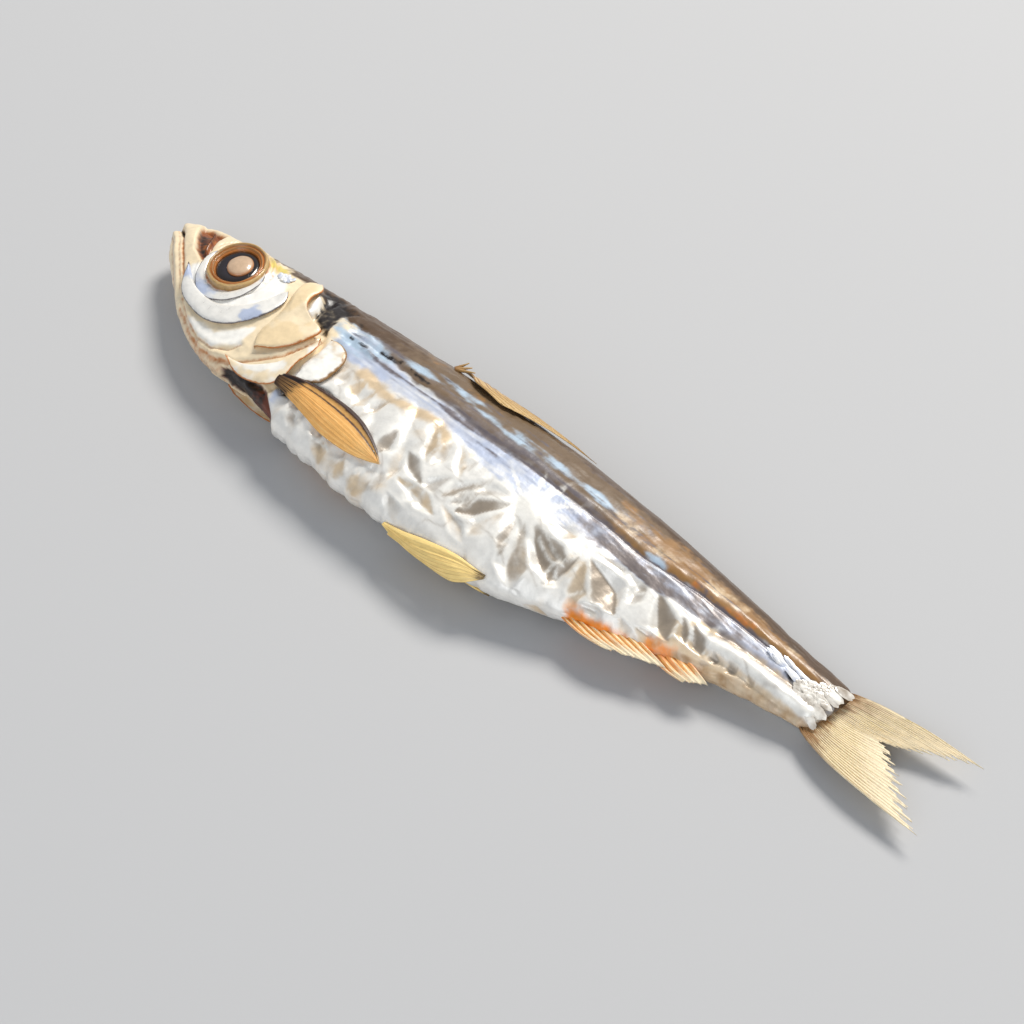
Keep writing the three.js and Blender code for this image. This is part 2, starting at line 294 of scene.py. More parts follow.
TAN_STREAK = [(36.5, -4.4), (41.9, -5.0), (45.1, -4.5), (48.3, -4.0), (50.4, -4.9), (50.8, -6.0)]
SKY_SPOTS = [
    (40.4, 0.3, 2.6), (45.8, 1.2, 3.0), (51.2, 0.8, 2.2), (56.0, 0.7, 3.2), (61.4, 1.1, 3.4),
    (67.0, 1.4, 2.0), (77.4, -0.1, 1.4),
]
STALK_RIDGE = [(86.5, -3.0), (91.0, -2.1), (94.7, -1.7), (99.2, -1.4), (101.4, -1.3)]
ANAL_ROOT = [(74.2, -9.5), (76.5, -8.9), (79.2, -8.3), (81.0, -8.0), (80.4, -9.4), (75.6, -11.4)]
ANAL_REAR_ROOT = [(82.8, -6.5), (84.6, -5.8), (86.0, -5.4), (86.0, -6.6), (83.4, -7.6)]
STAR = (63.5, -5.2)
# Long folds of the left flank: narrow end, wide end, half width, then how strongly the fold's trough is
# painted with grey shade and with warm shade.
FOLDS = (
    (62.2, -6.2, 57.9, -10.8, 1.5, 1.0, 0.0), (63.5, -6.6, 65.6, -11.2, 1.1, 0.8, 0.1),
    (64.6, -6.6, 68.6, -12.6, 1.9, 0.5, 0.5), (65.4, -6.0, 71.6, -9.7, 1.5, 1.0, 0.1),
    (65.4, -5.3, 70.0, -4.2, 1.1, 0.2, 0.7), (66.4, -6.4, 71.6, -7.0, 1.1, 0.8, 0.0),
    (62.4, -6.9, 61.2, -12.0, 1.2, 0.2, 0.4), (61.4, -5.6, 57.0, -7.2, 1.0, 0.4, 0.0),
    (72.6, -4.8, 79.0, -7.2, 2.0, 0.9, 0.1), (72.0, -5.2, 71.0, -10.4, 1.0, 1.0, 0.0),
    (72.4, -5.2, 75.2, -9.4, 1.1, 0.4, 0.5), (73.2, -3.9, 77.0, -2.4, 1.1, 0.3, 0.3),
    (78.6, -1.8, 79.2, -5.6, 1.0, 0.5, 0.0), (80.4, -2.4, 84.9, -5.6, 1.5, 0.9, 0.0),
    (84.2, -2.6, 86.4, -4.6, 1.0, 0.8, 0.1), (85.6, -2.2, 88.4, -4.2, 1.1, 1.0, 0.0),
    (89.0, -2.8, 90.3, -4.0, 0.9, 0.8, 0.3), (91.0, -2.5, 92.4, -3.5, 0.9, 0.8, 0.3),
    (93.4, -2.4, 94.8, -3.3, 0.8, 0.6, 0.3), (58.4, -4.9, 55.4, -10.4, 1.0, 0.7, 0.1),
    (58.8, -6.6, 57.0, -10.4, 0.9, 0.6, 0.0), (53.2, -10.8, 48.4, -8.2, 1.0, 0.7, 0.0),
    (54.8, -7.6, 53.2, -11.4, 1.1, 0.4, 0.0), (45.8, -7.0, 46.3, -11.0, 1.1, 0.7, 0.0),
    (47.8, -7.8, 49.4, -12.2, 1.0, 0.2, 0.7), (49.6, -11.2, 56.8, -12.2, 1.1, 0.1, 0.9),
    (56.0, -10.6, 61.6, -12.6, 0.8, 0.2, 0.6), (37.8, -4.8, 37.4, -7.9, 1.0, 0.1, 0.8),
    (39.6, -4.8, 39.0, -8.2, 1.0, 0.1, 0.8), (41.8, -4.9, 40.9, -7.8, 0.9, 0.1, 0.6),
    (35.2, -4.6, 35.4, -7.6, 0.8, 0.4, 0.1), (43.6, -12.9, 43.9, -15.4, 0.9, 0.1, 0.6),
    (46.4, -12.6, 46.0, -15.0, 0.9, 0.1, 0.6), (51.4, -4.6, 52.0, -8.4, 1.0, 0.3, 0.2),
    (33.6, -12.2, 36.0, -14.0, 0.9, 0.4, 0.2), (38.0, -13.2, 41.2, -14.8, 0.9, 0.3, 0.4),
    (50.2, -13.0, 53.6, -15.0, 1.1, 0.3, 0.2), (76.2, -3.4, 79.6, -3.2, 0.9, 0.5, 0.0),
    (68.0, -2.6, 71.6, -2.6, 0.9, 0.3, 0.1), (81.0, -6.4, 84.0, -6.8, 0.9, 0.2, 0.6),
    (55.4, -4.4, 54.6, -6.8, 0.8, 0.4, 0.0), (74.8, -9.0, 78.6, -8.6, 1.0, 0.2, 0.3),
)


# ---- Creased skin -----------------------------------------------------------------------

FOLD_SEED = 11
SMALL_FOLDS = 30  # tried between the long ones
STAR_CLEARANCE = 7  # no small fold starts this near the star
FOLD_DEPTH = 0.42  # of a fold over its half width
HEAD_GRID_END, HEAD_GRID_STEP = 34, 0.2  # the skin's grid is this fine on the head
TRUNK_STATIONS, SKIN_COLUMNS = 246, 236
SIDE_STEP = 7.0  # keeps the two flanks' patterns apart


class SkinGrid:
    """The skin's grid: places, arc lengths round each section and smooth normals."""

    def __init__(self, stations, columns):
        self.s, self.turn = np.meshgrid(stations, columns, indexing="ij")
        self.points = skin_point(self.s, self.turn)
        self.normals = skin_normal(self.s, self.turn)
        self.y = self.points[..., 1]
        self.side = np.where(np.sin(self.turn) >= 0, 1, -1)
        hop = np.linalg.norm(np.diff(self.points, axis=1), axis=-1)
        self.arc = np.concatenate([np.zeros((len(stations), 1)), np.cumsum(hop, 1)], 1)

    def arc_of(self, s, y, side=1):
        """Arc length round the section at which the skin reaches y."""
        row = int(np.argmin(np.abs(self.s[:, 0] - s)))
        turn = float(turn_at(s, y, side)) % (2 * math.pi)
        return float(np.interp(turn, self.turn[row], self.arc[row]))


def small_folds(random):
    """Short folds between the long ones, mostly slanting, laid out like the FOLDS."""
    folds = []
    for _ in range(SMALL_FOLDS):
        s, y = random.uniform(33, 90), random.uniform(-13, -4)
        angle, length = random.gauss(-1.1, 0.6), random.uniform(3.0, 5.5)
        end = s + length * math.cos(angle), y + length * math.sin(angle)
        if math.hypot(s - STAR[0], y - STAR[1]) > STAR_CLEARANCE:
            half_width = random.uniform(0.7, 1.2)
            # how strongly this fold's trough is painted with grey shade and with warm shade
            grey_shade, warm_shade = random.choice((0, 0.3, 0.6)), random.choice((0, 0, 0.6))
            folds.append((s, y, *end, half_width, grey_shade, warm_shade))
    return folds


def fold_field(grid, random):
    """Height, crests and two painted shades, dull grey and warm, of the folds dried into both flanks."""
    height, crest, dull, warm_fold_shade = np.zeros((4, *grid.s.shape))
    sway = 0.35 * noise(grid.s * 0.3, grid.arc * 0.3, 14, 1)
    for side in (1, -1):
        for start_s, start_y, end_s, end_y, width, grey_shade, warm_shade in (*FOLDS, *small_folds(random)):
            drift = 0.0 if side > 0 else random.uniform(-1.5, 1.5)
            start = start_s + drift, grid.arc_of(start_s + drift, start_y, side)
            reach = end_s - start_s, grid.arc_of(end_s + drift, end_y, side) - start[1]
            length = math.hypot(*reach)
            ds, darc = grid.s - start[0], grid.arc - start[1] + sway
            along = (ds * reach[0] + darc * reach[1]) / length**2
            wide = 1.15 * width * np.clip(np.minimum(along / 0.65, (1 - along) / 0.35), 0, 1) ** 0.8
            across = random.choice((-1, 1)) * (darc * reach[0] - ds * reach[1]) / length
            share = np.clip(across / np.maximum(wide, 0.02), -1, 1)
            sharp = random.uniform(-0.7, -0.2)
            depth = np.minimum((1 + share) / (1 + sharp), (1 - share) / (1 - sharp))
            height = np.minimum(height, 0.2 * height - FOLD_DEPTH * wide * depth)
            # painted shade on the fold's long wall, darkest beside its sharp crease; the short steep wall
            # stays unshaded
            shaded_wall = step(sharp - 0.1, sharp + 0.12, share) * (1 - 0.45 * (share - sharp) / (1 - sharp))
            shade = shaded_wall * step(0.0, 0.2, depth) * step(0.08, 0.3, wide)
            dull, warm_fold_shade = np.maximum(dull, grey_shade * shade), np.maximum(warm_fold_shade, warm_shade * shade)
            # the fold's border, raised as a crest and also painted as a highlight line
            crest = np.maximum(crest, bump(np.abs(across) - wide, 0.2) * step(0.1, 0.4, wide))
    return height, crest, dull, warm_fold_shade


def soften(field, rounds=1):
    """Rounds off a field on the closed skin grid."""
    for _ in range(rounds):
        beside = np.roll(field, 1, 1) + np.roll(field, -1, 1)
        ahead = np.concatenate([field[1:], field[-1:]]) + np.concatenate([field[:1], field[:-1]])
        field = (2 * field + 0.5 * (beside + ahead)) / 4
    return field


def transverse_folds(s, y):
    """Long soft folds that run across the fish, from -1 to 1."""
    bent = 0.62 * s - 0.16 * y + 0.9 * noise(s * 0.12, y * 0.22, 8, 2)
    return 1.6 * noise(bent, y * 0.07, 6, 2)


def trunk_relief(grid, folds, crests):
    s, y = grid.s, grid.y
    behind = step(30.5, 33.0, s)
    pale = trunk_pale(s, y)
    _, belly, half, _ = section(s)
    inward = step(0.0, 1.6, y - belly)
    groove, above = path_distance(s, y, LATERAL_GROOVE)
    strength = (0.1 + 0.9 * pale) * (0.35 + 0.65 * inward) * (1 - 0.4 * step(84, 96, s))
    relief = behind * strength * (folds + 0.07 * crests)
    relief -= behind * 0.2 * bump(groove, 0.22) * (0.5 + 0.5 * step(58, 66, s))
    relief += behind * 0.24 * bump(groove - 1.0, 0.8) * (above > 0)
    grain = noise(s * 0.35, grid.arc * 2.2, 3, 3)
    relief += behind * (1 - pale) * 0.05 * grain
    relief += 0.02 * noise(s * 1.7, grid.arc * 1.7, 5, 2) * behind
    relief += behind * pale * transverse_folds(s, y) * (0.16 * step(56, 46, s) + 0.08)
    crumple = np.abs(noise(s * 0.24 + y * 0.1, grid.arc * 0.22, 18, 1))
    relief += behind * inward * (0.2 + 0.8 * pale) * (0.55 * crumple - 0.1)
    ridge, _ = path_distance(s, y, STALK_RIDGE)
    relief += 0.65 * bump(ridge, 0.8) * step(84, 90, s)
    relief -= 0.28 * bump(ridge - 1.2, 0.35) * step(84, 90, s) * (0.6 + 0.4 * noise(s * 1.3, y * 0, 23, 1))
    ragged = noise(s * 1.3, grid.side * 3.0, 21, 3)
    relief += behind * bump(y - belly, 0.8) * 0.12 * ragged
    closing = np.sqrt(np.clip(1 - np.clip((s - LENGTH + 1.3) / 1.35, 0, 1) ** 2, 0, 1))
    return relief - (1 - closing) * 0.85 * half


def eye_distance(s, y):
    """Distance from the eye's centre, measured so that the eye's rings are at a constant one."""
    ds, dy = s - EYE_S, y - EYE_Y
    out = (ds * math.cos(EYE_LEAN) + dy * math.sin(EYE_LEAN)) / EYE_STRETCH
    return np.hypot(out, dy * math.cos(EYE_LEAN) - ds * math.sin(EYE_LEAN))


def trunk_pale(s, y):
    """1 on the pale, creased flank below the silver band."""
    away, above = path_distance(s, y, PALE_EDGE)
    broken = 0.8 * noise(s * 0.45, y * 0.5, 12, 3)
    return step(0.45, -0.45, away * above + broken) * step(30.0, 32.5, s)


def head_relief(grid):
    s, y = grid.s, grid.y
    front = step(31.0, 29.0, s)
    relief = np.zeros(s.shape)
    mouth, outer = path_distance(s, y, MOUTH_LINE)
    below = mouth * -outer
    relief -= 0.3 * bump(mouth, 0.2) * step(11.0, 9.0, s)
    relief += (
        0.1 * np.cos(2 * math.pi * below / 0.8) * step(-0.2, 0.4, below) * step(2.6, 1.8, below)
        * step(12, 9, s)
    )
    relief -= 0.6 * step(3.0, 0.4, s) * bump(mouth, 0.35)
    for path, depth in ((JAW_LINE, 0.22), (CHIN_LINE, 0.16), (GILL_LINE, 0.22)):
        away, beside = path_distance(s, y, path)
        relief -= depth * bump(away, 0.16)
        relief += 0.6 * depth * bump(away * beside - 0.5, 0.4)
        relief += 0.4 * depth * bump(away * beside + 0.5, 0.4)
    relief -= 0.85 * region(s, y, SNOUT_PIT, 0.3)
    strut, _ = path_distance(s, y, [(4.7, 1.0), (6.6, -2.1)])
    relief += 0.6 * bump(strut, 0.2) * region(s, y, SNOUT_PIT, 0.35)
    relief -= 0.7 * region(s, y, THROAT_WINDOW, 0.3)
    relief -= 0.45 * region(s, y, GILL_TOP_DARK, 0.6)
    relief += 0.6 * region(s, y, GILL_TOP_PALE, 0.25)
    relief -= 0.7 * region(s, y, FIN_POCKET, 0.3)
    eye = eye_distance(s, y)
    relief -= 0.9 * step(3.3, 2.9, eye)
    relief += 0.2 * np.cos((eye - 3.5) * 2 * math.pi / 0.6) * bump(eye - 4.0, 0.7)
    relief += 0.1 * noise(s * 0.8, y * 0.8, 31, 3) * front
    relief += 0.03 * noise(s * 2.6, y * 2.6, 33, 2) * front
    nape = step(1.2, 2.8, y) * step(12, 20, s) * step(40, 30, s)
    relief += nape * 0.07 * noise(s * 0.5, y * 3.2, 35, 2)
    gill, beside = path_distance(s, y, GILL_EDGE)
    relief -= 0.5 * step(0.9, 0.0, gill * beside) * step(-1.6, -0.2, gill * beside) * step(36, 31, s)
    relief += 0.28 * noise(s * 0.55, y * 1.5, 37, 3) * region(s, y, SKY_PATCH, 0.5)
    return relief


def paint_masks(grid, crests, dull, warm_fold_shade):
    """Named masks from 0 to 1 that the skin's material mixes its colours by."""
    s, y = grid.s, grid.y
    back, belly, _, _ = section(s)
    head = step(31.0, 29.4, s)
    trunk = 1 - head
    pale = trunk_pale(s, y)
    top_away, above = path_distance(s, y, BAND_TOP)
    height = top_away * above
    over_band = step(-0.4, 0.4, height + 0.35 * noise(s * 0.5, y * 1.1, 41, 2))
    streaks = noise(s * 0.14, y * 2.4, 42, 3)
    patches = noise(s * 0.3, y * 0.9, 43, 2)
    stalk = step(66, 78, s)
    star_s, star_y = STAR
    star, fan = np.hypot(s - star_s, y - star_y), np.arctan2(y - star_y, s - star_s)
    strands = noise(fan * 7.0, star * 0.25, 47, 3)
    masks = {}
    masks["bone"] = head
    brow = step(1.9, 2.9, y + 0.4 * patches) * step(9, 15, s) * head
    low = 0.9 - 1.1 * step(22, 27, s)
    nape = step(low, low + 1.1, y) * step(14.0, 19.0, s) * step(44, 29, s)
    ridge_top = step(2.6, 1.0, back - y) * (0.5 + 0.5 * step(46, 66, s) + 0.5 * streaks) * trunk
    masks["nape"] = np.maximum(np.maximum(brow, nape), ridge_top)
    masks["olive"] = trunk * over_band
    masks["band"] = trunk * (1 - over_band) * (1 - pale) * (0.75 + 0.5 * streaks)
    soft_violet = step(-0.5, 0.1, height) * step(2.4, 0.8, height) * step(29, 36, s) * step(84, 68, s)
    below = trunk * (1 - over_band) * step(-3.4, -0.6, height) * step(70, 48, s)
    rear = (
        0.75 * trunk * (1 - over_band) * step(62, 74, s) * (0.3 + 0.7 * step(98, 84, s)) * (1 - pale)
        * (1 + streaks)
    )
    masks["violet"] = np.maximum(
        soft_violet * (0.55 + 0.9 * streaks), np.maximum(below * (0.3 + 1.0 * streaks), rear)
    )
    line = (
        bump(top_away, 0.14) * step(52, 62, s)
        + 0.7 * step(0.1, 0.35, streaks) * bump(height + 1.0, 0.9) * step(66, 50, s)
    )
    masks["line"] = trunk * (line + 0.55 * over_band * step(0.1, 0.5, streaks))
    torn = noise(s * 0.35, y * 1.9, 48, 3)
    sky = region(s, y + 0.6 * torn, SKY_PATCH, 0.8) * (0.7 + 0.9 * torn)
    for spot_s, spot_y, reach in SKY_SPOTS:
        far = np.hypot((s - spot_s) / reach, (y - spot_y) / 0.8)
        sky = np.maximum(sky, 0.8 * step(1.4, 0.2, far + 0.7 * torn))
    masks["sky"] = sky
    masks["gold"] = np.clip(
        stalk * over_band * step(4.6, 3.0, y) * (0.85 + 0.3 * patches)
        + 0.4 * trunk * step(79, 86, s) * step(1.1, 0.5, y - belly)
        + 0.5 * trunk * step(0.25, 0.6, patches) * over_band * step(1.0, 2.4, y), 0, 1)
    masks["rust"] = (
        0.6 * stalk * step(96, 90, s) * bump(height - 0.5, 0.5)
        * step(0.0, 0.4, noise(s * 0.4, y * 0.5, 49, 2))
    )
    # pale blotches on the stalk's back, partly a painted highlight along its rounded top
    masks["blob"] = (
        0.6 * step(64, 72, s) * bump(height - 1.7, 0.75)
        * step(0.05, 0.4, noise(s * 0.55, y * 0.5, 50, 1))
    )
    tan, _ = path_distance(s, y, TAN_STREAK)
    stains = 0.5 * step(0.05, 0.6, noise(s * 0.22, y * 0.3, 46, 2))
    ridge, ridge_side = path_distance(s, y, STALK_RIDGE)
    low_band = (
        bump(ridge * ridge_side - 1.1, 0.55) * step(80, 86, s)
        + step(80, 86, s) * step(-0.5, -1.1, ridge * ridge_side)
    )
    # warm painted shade in the folds' troughs, with the skin's stains, the tan streak and the band below the
    # stalk's ridge
    masks["beige"] = np.clip(pale * (0.9 * warm_fold_shade + stains) + (bump(tan, 0.75) + 0.8 * low_band) * trunk, 0, 1)
    # painted shade: grey in the troughs of the folds and of the long transverse folds
    shadow = 0.4 * step(0.15, 0.8, -transverse_folds(s, y)) * step(58, 48, s)
    masks["grey"] = pale * np.maximum(1.35 * dull, shadow) * step(0.3, 1.4, y - belly)
    # painted highlight: a white glow round the star's centre and along the stalk's ridge, with white strands
    # fanning out of the star
    glow = np.clip(
        bump(star, 2.6) + 0.9 * step(0.0, 0.35, strands) * bump(star - 3.0, 2.4) * (y > star_y - 0.5),
        0, 1
    )
    masks["glow"] = np.clip(trunk * glow + bump(ridge, 0.75) * step(86, 90, s), 0, 1)
    inward = step(0.6, 1.6, y - belly)
    # painted highlight along the raised crests of the folds
    masks["crease"] = pale * 0.8 * crests * inward
    hair = bump(noise(s * 0.16 + y * 0.1, grid.arc * 0.3, 19, 2), 0.06)
    masks["seam"] = pale * 0.4 * hair * inward
    cheek = [
        (7.4, -4.6), (10.0, -7.4), (13.8, -8.9), (17.6, -8.8), (20.8, -6.0), (21.2, -3.0), (18.6, -0.2),
        (16.2, 0.2),
    ]
    masks["silver"] = np.clip(region(s, y, cheek, 0.5) + region(s, y, GILL_TOP_PALE, 0.3), 0, 1)
    lower_cheek = [(12.5, -9.8), (18.0, -9.9), (21.6, -7.2), (22.0, -9.6), (19.0, -11.2), (15.6, -10.8)]
    masks["cream"] = head * np.clip(region(s, y, lower_cheek, 0.5), 0, 1)
    masks["yellow"] = 0.8 * region(s, y, [(12.6, 2.0), (14.6, 0.7), (17.2, 0.4), (16.8, 1.7)], 0.5)
    masks["ember"] = np.maximum(region(s, y, ANAL_ROOT, 0.8), 0.7 * region(s, y, ANAL_REAR_ROOT, 0.7))
    masks["amber"] = head_amber(s, y)
    masks["russet"] = np.maximum(region(s, y, THROAT_WINDOW, 0.25), 0.6 * region(s, y, SNOUT_PIT, 0.2))
    masks["dark"] = head_dark(s, y)
    return {name: np.clip(mask, 0, 1) for name, mask in masks.items()}


def head_amber(s, y):
    amber = 0.9 * region(s, y, SNOUT_PIT, 0.25)
    for path, width, strength in (
            (MOUTH_LINE, 0.16, 0.75), (JAW_LINE, 0.14, 0.5), (CHIN_LINE, 0.18, 0.55),
            (GILL_LINE, 0.2, 0.7)
    ):
        away, _ = path_distance(s, y, path)
        amber = np.maximum(amber, strength * bump(away, width))
    mouth, outer = path_distance(s, y, MOUTH_LINE)
    lines = 0.5 - 0.5 * np.cos(2 * math.pi * mouth / 0.8)
    amber = np.maximum(amber, 0.4 * lines**4 * step(2.8, 2.0, mouth) * (outer < 0) * step(10, 8, s))
    eye = eye_distance(s, y)
    amber = np.maximum(
        amber, 0.7 * bump(eye - 3.4, 0.25) + 0.4 * bump(eye - 4.3, 0.18) * step(-4.5, -1.0, y)
    )
    _, belly, _, _ = section(s)
    corner = step(1.0, 0.1, y - belly) * step(13, 17, s) * step(23, 21, s)
    amber = np.maximum(amber, 0.4 * corner)
    return amber


# Darkens the head's gaps, pockets and hollows: the mouth's gap, the throat's opening, the fin pocket, the
# snout's pit and a slit on the tail stalk, with the patch atop the gill cover and slashes behind the gill.
def head_dark(s, y):
    patchy = noise(s * 0.9, y * 0.9, 51, 3)
    dark = (
        0.85 * region(s + 0.7 * patchy, y + 0.5 * patchy, GILL_TOP_DARK, 0.5)
        * (1 - region(s, y, GILL_TOP_PALE, 0.2))
    )
    dark = np.maximum(dark, region(s, y, FIN_POCKET, 0.25))
    window = region(s, y, THROAT_WINDOW, 0.2) * step(31.0, 26.0, s + 1.5 * patchy)
    dark = np.maximum(dark, 0.9 * window)
    mouth, _ = path_distance(s, y, MOUTH_LINE[:3])
    dark = np.maximum(dark, 0.8 * bump(mouth, 0.25) * step(1.8, 0.9, s))
    slit = region(s, y, [(95.6, 0.4), (99.0, 0.7), (99.4, -0.3), (97.4, -0.5)], 0.25)
    dark = np.maximum(dark, 0.75 * slit)
    for slash in (
            [(35.2, -0.9), (38.6, -0.7)], [(29.6, 0.9), (32.4, -0.1)], [(31.0, -1.6), (34.2, -1.5)],
            [(38.0, -0.5), (43.0, -0.9)]
    ):
        away, _ = path_distance(s, y, slash)
        dark = np.maximum(dark, 0.9 * bump(away, 0.24) * step(-0.3, 0.3, patchy))
    pit = region(s, y, [(2.8, 0.2), (3.8, -0.9), (5.6, -2.4), (7.4, -3.1), (5.0, 0.9)], 0.3)
    return np.maximum(dark, 0.6 * pit)


# ---- Mesh making ------------------------------------------------------------------------


def add_mesh(name, points, faces, material, attributes, edges=()):
    """A mesh object at the origin, with its place in its mesh and named attributes."""
    mesh = bpy.data.meshes.new(name)
    placed = to_frame(points).reshape(-1, 3)
    mesh.from_pydata(placed.tolist(), edges, [tuple(face) for face in faces])
    mesh.polygons.foreach_set("use_smooth", np.ones(len(mesh.polygons), bool))
    for key, field in attributes.items():
        field = np.asarray(field, np.float32)
        if field.size == len(placed) * 3:
            layer = mesh.attributes.new(key, "FLOAT_VECTOR", "POINT")
            layer.data.foreach_set("vector", field.ravel())
        else:
            layer = mesh.attributes.new(key, "FLOAT", "POINT")
            layer.data.foreach_set("value", field.ravel())
    if material:
        mesh.materials.append(material)
    mesh.update()
    piece = bpy.data.objects.new(name, mesh)
    bpy.context.scene.collection.objects.link(piece)
    return piece


def loft(rings, values):
    """Joins closed rings, caps both ends with a hub, and returns points, faces, values."""
    count, sides = rings.shape[:2]
    ring, side = np.meshgrid(np.arange(count - 1), np.arange(sides), indexing="ij")
    here = ring * sides + side
    beside = ring * sides + (side + 1) % sides
    quads = np.stack([here, beside, beside + sides, here + sides], -1).reshape(-1, 4).tolist()
    points = rings.reshape(-1, 3)
    hubs = np.stack([rings[0].mean(0), rings[-1].mean(0)])
    base, last = count * sides, (count - 1) * sides
    for k in range(sides):
        nxt = (k + 1) % sides
        quads.append([base, nxt, k])
        quads.append([base + 1, last + k, last + nxt])
    points = np.concatenate([points, hubs])
    out = {}
    for key, field in values.items():
        flat = field.reshape(count * sides, -1)
        ends = np.stack([field[0].reshape(sides, -1).mean(0), field[-1].reshape(sides, -1).mean(0)])
        out[key] = np.concatenate([flat, ends])
    return face_out(points, quads), quads, out


def face_out(points, faces):
    """Turns the faces round in place if the closed shape came inside out."""
    volume = 0.0
    for face in faces:
        a = points[face[0]]
        for k in range(1, len(face) - 1):
            volume += np.dot(a, np.cross(points[face[k]], points[face[k + 1]]))
    if volume < 0:
        for face in faces:
            face.reverse()
    return points


def body_stations():
    """Section places, closest together on the head."""
    head = np.arange(0, HEAD_GRID_END, HEAD_GRID_STEP)
    return np.concatenate([head, np.linspace(HEAD_GRID_END, LENGTH, TRUNK_STATIONS)])


def build_body(colours):
    """The skin of head and trunk: folds and grooves raised on a grid, and its colour masks."""
    columns = np.linspace(0, 2 * math.pi, SKIN_COLUMNS, endpoint=False)
    grid = SkinGrid(body_stations(), columns)
    # dull and warm are painted shades in the folds' troughs; the crests are also painted as highlight lines
    folds, crests, dull, warm_fold_shade = fold_field(grid, Random(FOLD_SEED))
    relief = head_relief(grid) + trunk_relief(grid, soften(folds), crests)
    placed = grid.points + grid.normals * relief[..., None]
    masks = paint_masks(grid, soften(crests), soften(dull), soften(warm_fold_shade))
    masks["skin_place"] = np.stack([grid.s, grid.arc, grid.side * SIDE_STEP], -1)
    points, faces, values = loft(placed, masks)
    return add_mesh("dried_body", points, faces, skin_material(colours), values)


# ---- Materials --------------------------------------------------------------------------


def screen(r, g, b):
    """A colour as seen on a screen, turned into linear light."""
    return tuple(v / 12.92 if v <= 0.04045 else ((v + 0.055) / 1.055) ** 2.4 for v in (r, g, b))


def new_material(name):
    material = bpy.data.materials.new(name)
    material.use_nodes = True
    tree = material.node_tree
    return material, tree, tree.nodes["Principled BSDF"]


def fill(tree, node, values):
    """Gives a node's inputs, by name or number, a value or a link from a socket."""
    for key, value in values.items():
        if isinstance(value, bpy.types.NodeSocket):
            tree.links.new(value, node.inputs[key])
        else:
            node.inputs[key].default_value = value


def add_node(tree, kind, values, **settings):
    node = tree.nodes.new(kind)
    for key, value in settings.items():
        setattr(node, key, value)
    fill(tree, node, values)
    return node


def mix_colour(tree, below, above, mask, blend="MIX"):
    values = {0: mask, 6: below, 7: above}
    for key in (6, 7):
        if not isinstance(values[key], bpy.types.NodeSocket):
            values[key] = (*values[key], 1.0)
    node = add_node(tree, "ShaderNodeMix", values, data_type="RGBA", blend_type=blend)
    return node.outputs[2]


def tinted(tree, colour, shade):
    """Multiplies a colour by a grey shade."""
    return mix_colour(tree, colour, shade, 1.0, "MULTIPLY")


def maths(tree, operation, *values, clamp=False):
    values = dict(enumerate(values))
    return add_node(tree, "ShaderNodeMath", values, operation=operation, use_clamp=clamp).outputs[0]


def attribute(tree, name, output="Fac"):
    return add_node(tree, "ShaderNodeAttribute", {}, attribute_name=name).outputs[output]


def object_noise(tree, scale):
    place = add_node(tree, "ShaderNodeTexCoord", {}).outputs["Object"]
    return add_node(tree, "ShaderNodeTexNoise", {"Vector": place, "Scale": scale}).outputs["Fac"]


def bump_normal(tree, height, distance, strength=1.0):
    values = {"Height": height, "Distance": distance * MM, "Strength": strength}
    return add_node(tree, "ShaderNodeBump", values).outputs["Normal"]


def new_tree(name, kind, inputs, outputs):
    """A node tree with named sockets: inputs map a label to a default, or to a socket type."""
    tree = bpy.data.node_groups.new(name, kind)
    for label, default in inputs.items():
        socket_type = {float: "NodeSocketFloat", int: "NodeSocketInt"}.get(type(default), default)
        socket = tree.interface.new_socket(label, in_out="INPUT", socket_type=socket_type)
        if socket_type != default:
            socket.default_value = default
    for label, socket_type in outputs.items():
        tree.interface.new_socket(label, in_out="OUTPUT", socket_type=socket_type)
    return tree, tree.nodes.new("NodeGroupInput").outputs, tree.nodes.new("NodeGroupOutput")


def use_group(tree, group, **values):
    """Places a group and returns its outputs; values name its inputs with _ for spaces."""
    node = add_node(tree, "ShaderNodeGroup", {}, node_tree=group)
    fill(tree, node, {label.replace("_", " "): value for label, value in values.items()})
    return node.outputs


def broken_edge_group():
    """Roughens the border of a mask so that it looks torn, not drawn."""
    known = bpy.data.node_groups.get("Broken Edge")
    if known:
        return known
    inputs = {"Place": "NodeSocketVector", "Mask": 0.0, "Scale": 1.0, "Breakup": 0.5, "Softness": 0.3}
    group, given, result = new_tree("Broken Edge", "ShaderNodeTree", inputs, {"Mask": "NodeSocketFloat"})
    values = {"Vector": given["Place"], "Scale": given["Scale"], "Detail": 5.0}
    texture = add_node(group, "ShaderNodeTexNoise", values)
    centred = maths(group, "SUBTRACT", texture.outputs["Fac"], 0.5)
    moved = maths(group, "MULTIPLY", centred, given["Breakup"])
    border = maths(group, "MULTIPLY", given["Mask"], maths(group, "SUBTRACT", 1.0, given["Mask"]))
    moved = maths(group, "MULTIPLY", moved, maths(group, "MULTIPLY", border, 8.0))
    values = {
        "Value": maths(group, "ADD", given["Mask"], moved, clamp=True),
        "From Min": maths(group, "SUBTRACT", 0.5, given["Softness"]),
        "From Max": maths(group, "ADD", 0.5, given["Softness"]),
    }
    remap = add_node(group, "ShaderNodeMapRange", values, interpolation_type="SMOOTHSTEP")
    fill(group, result, {"Mask": remap.outputs["Result"]})
    return group


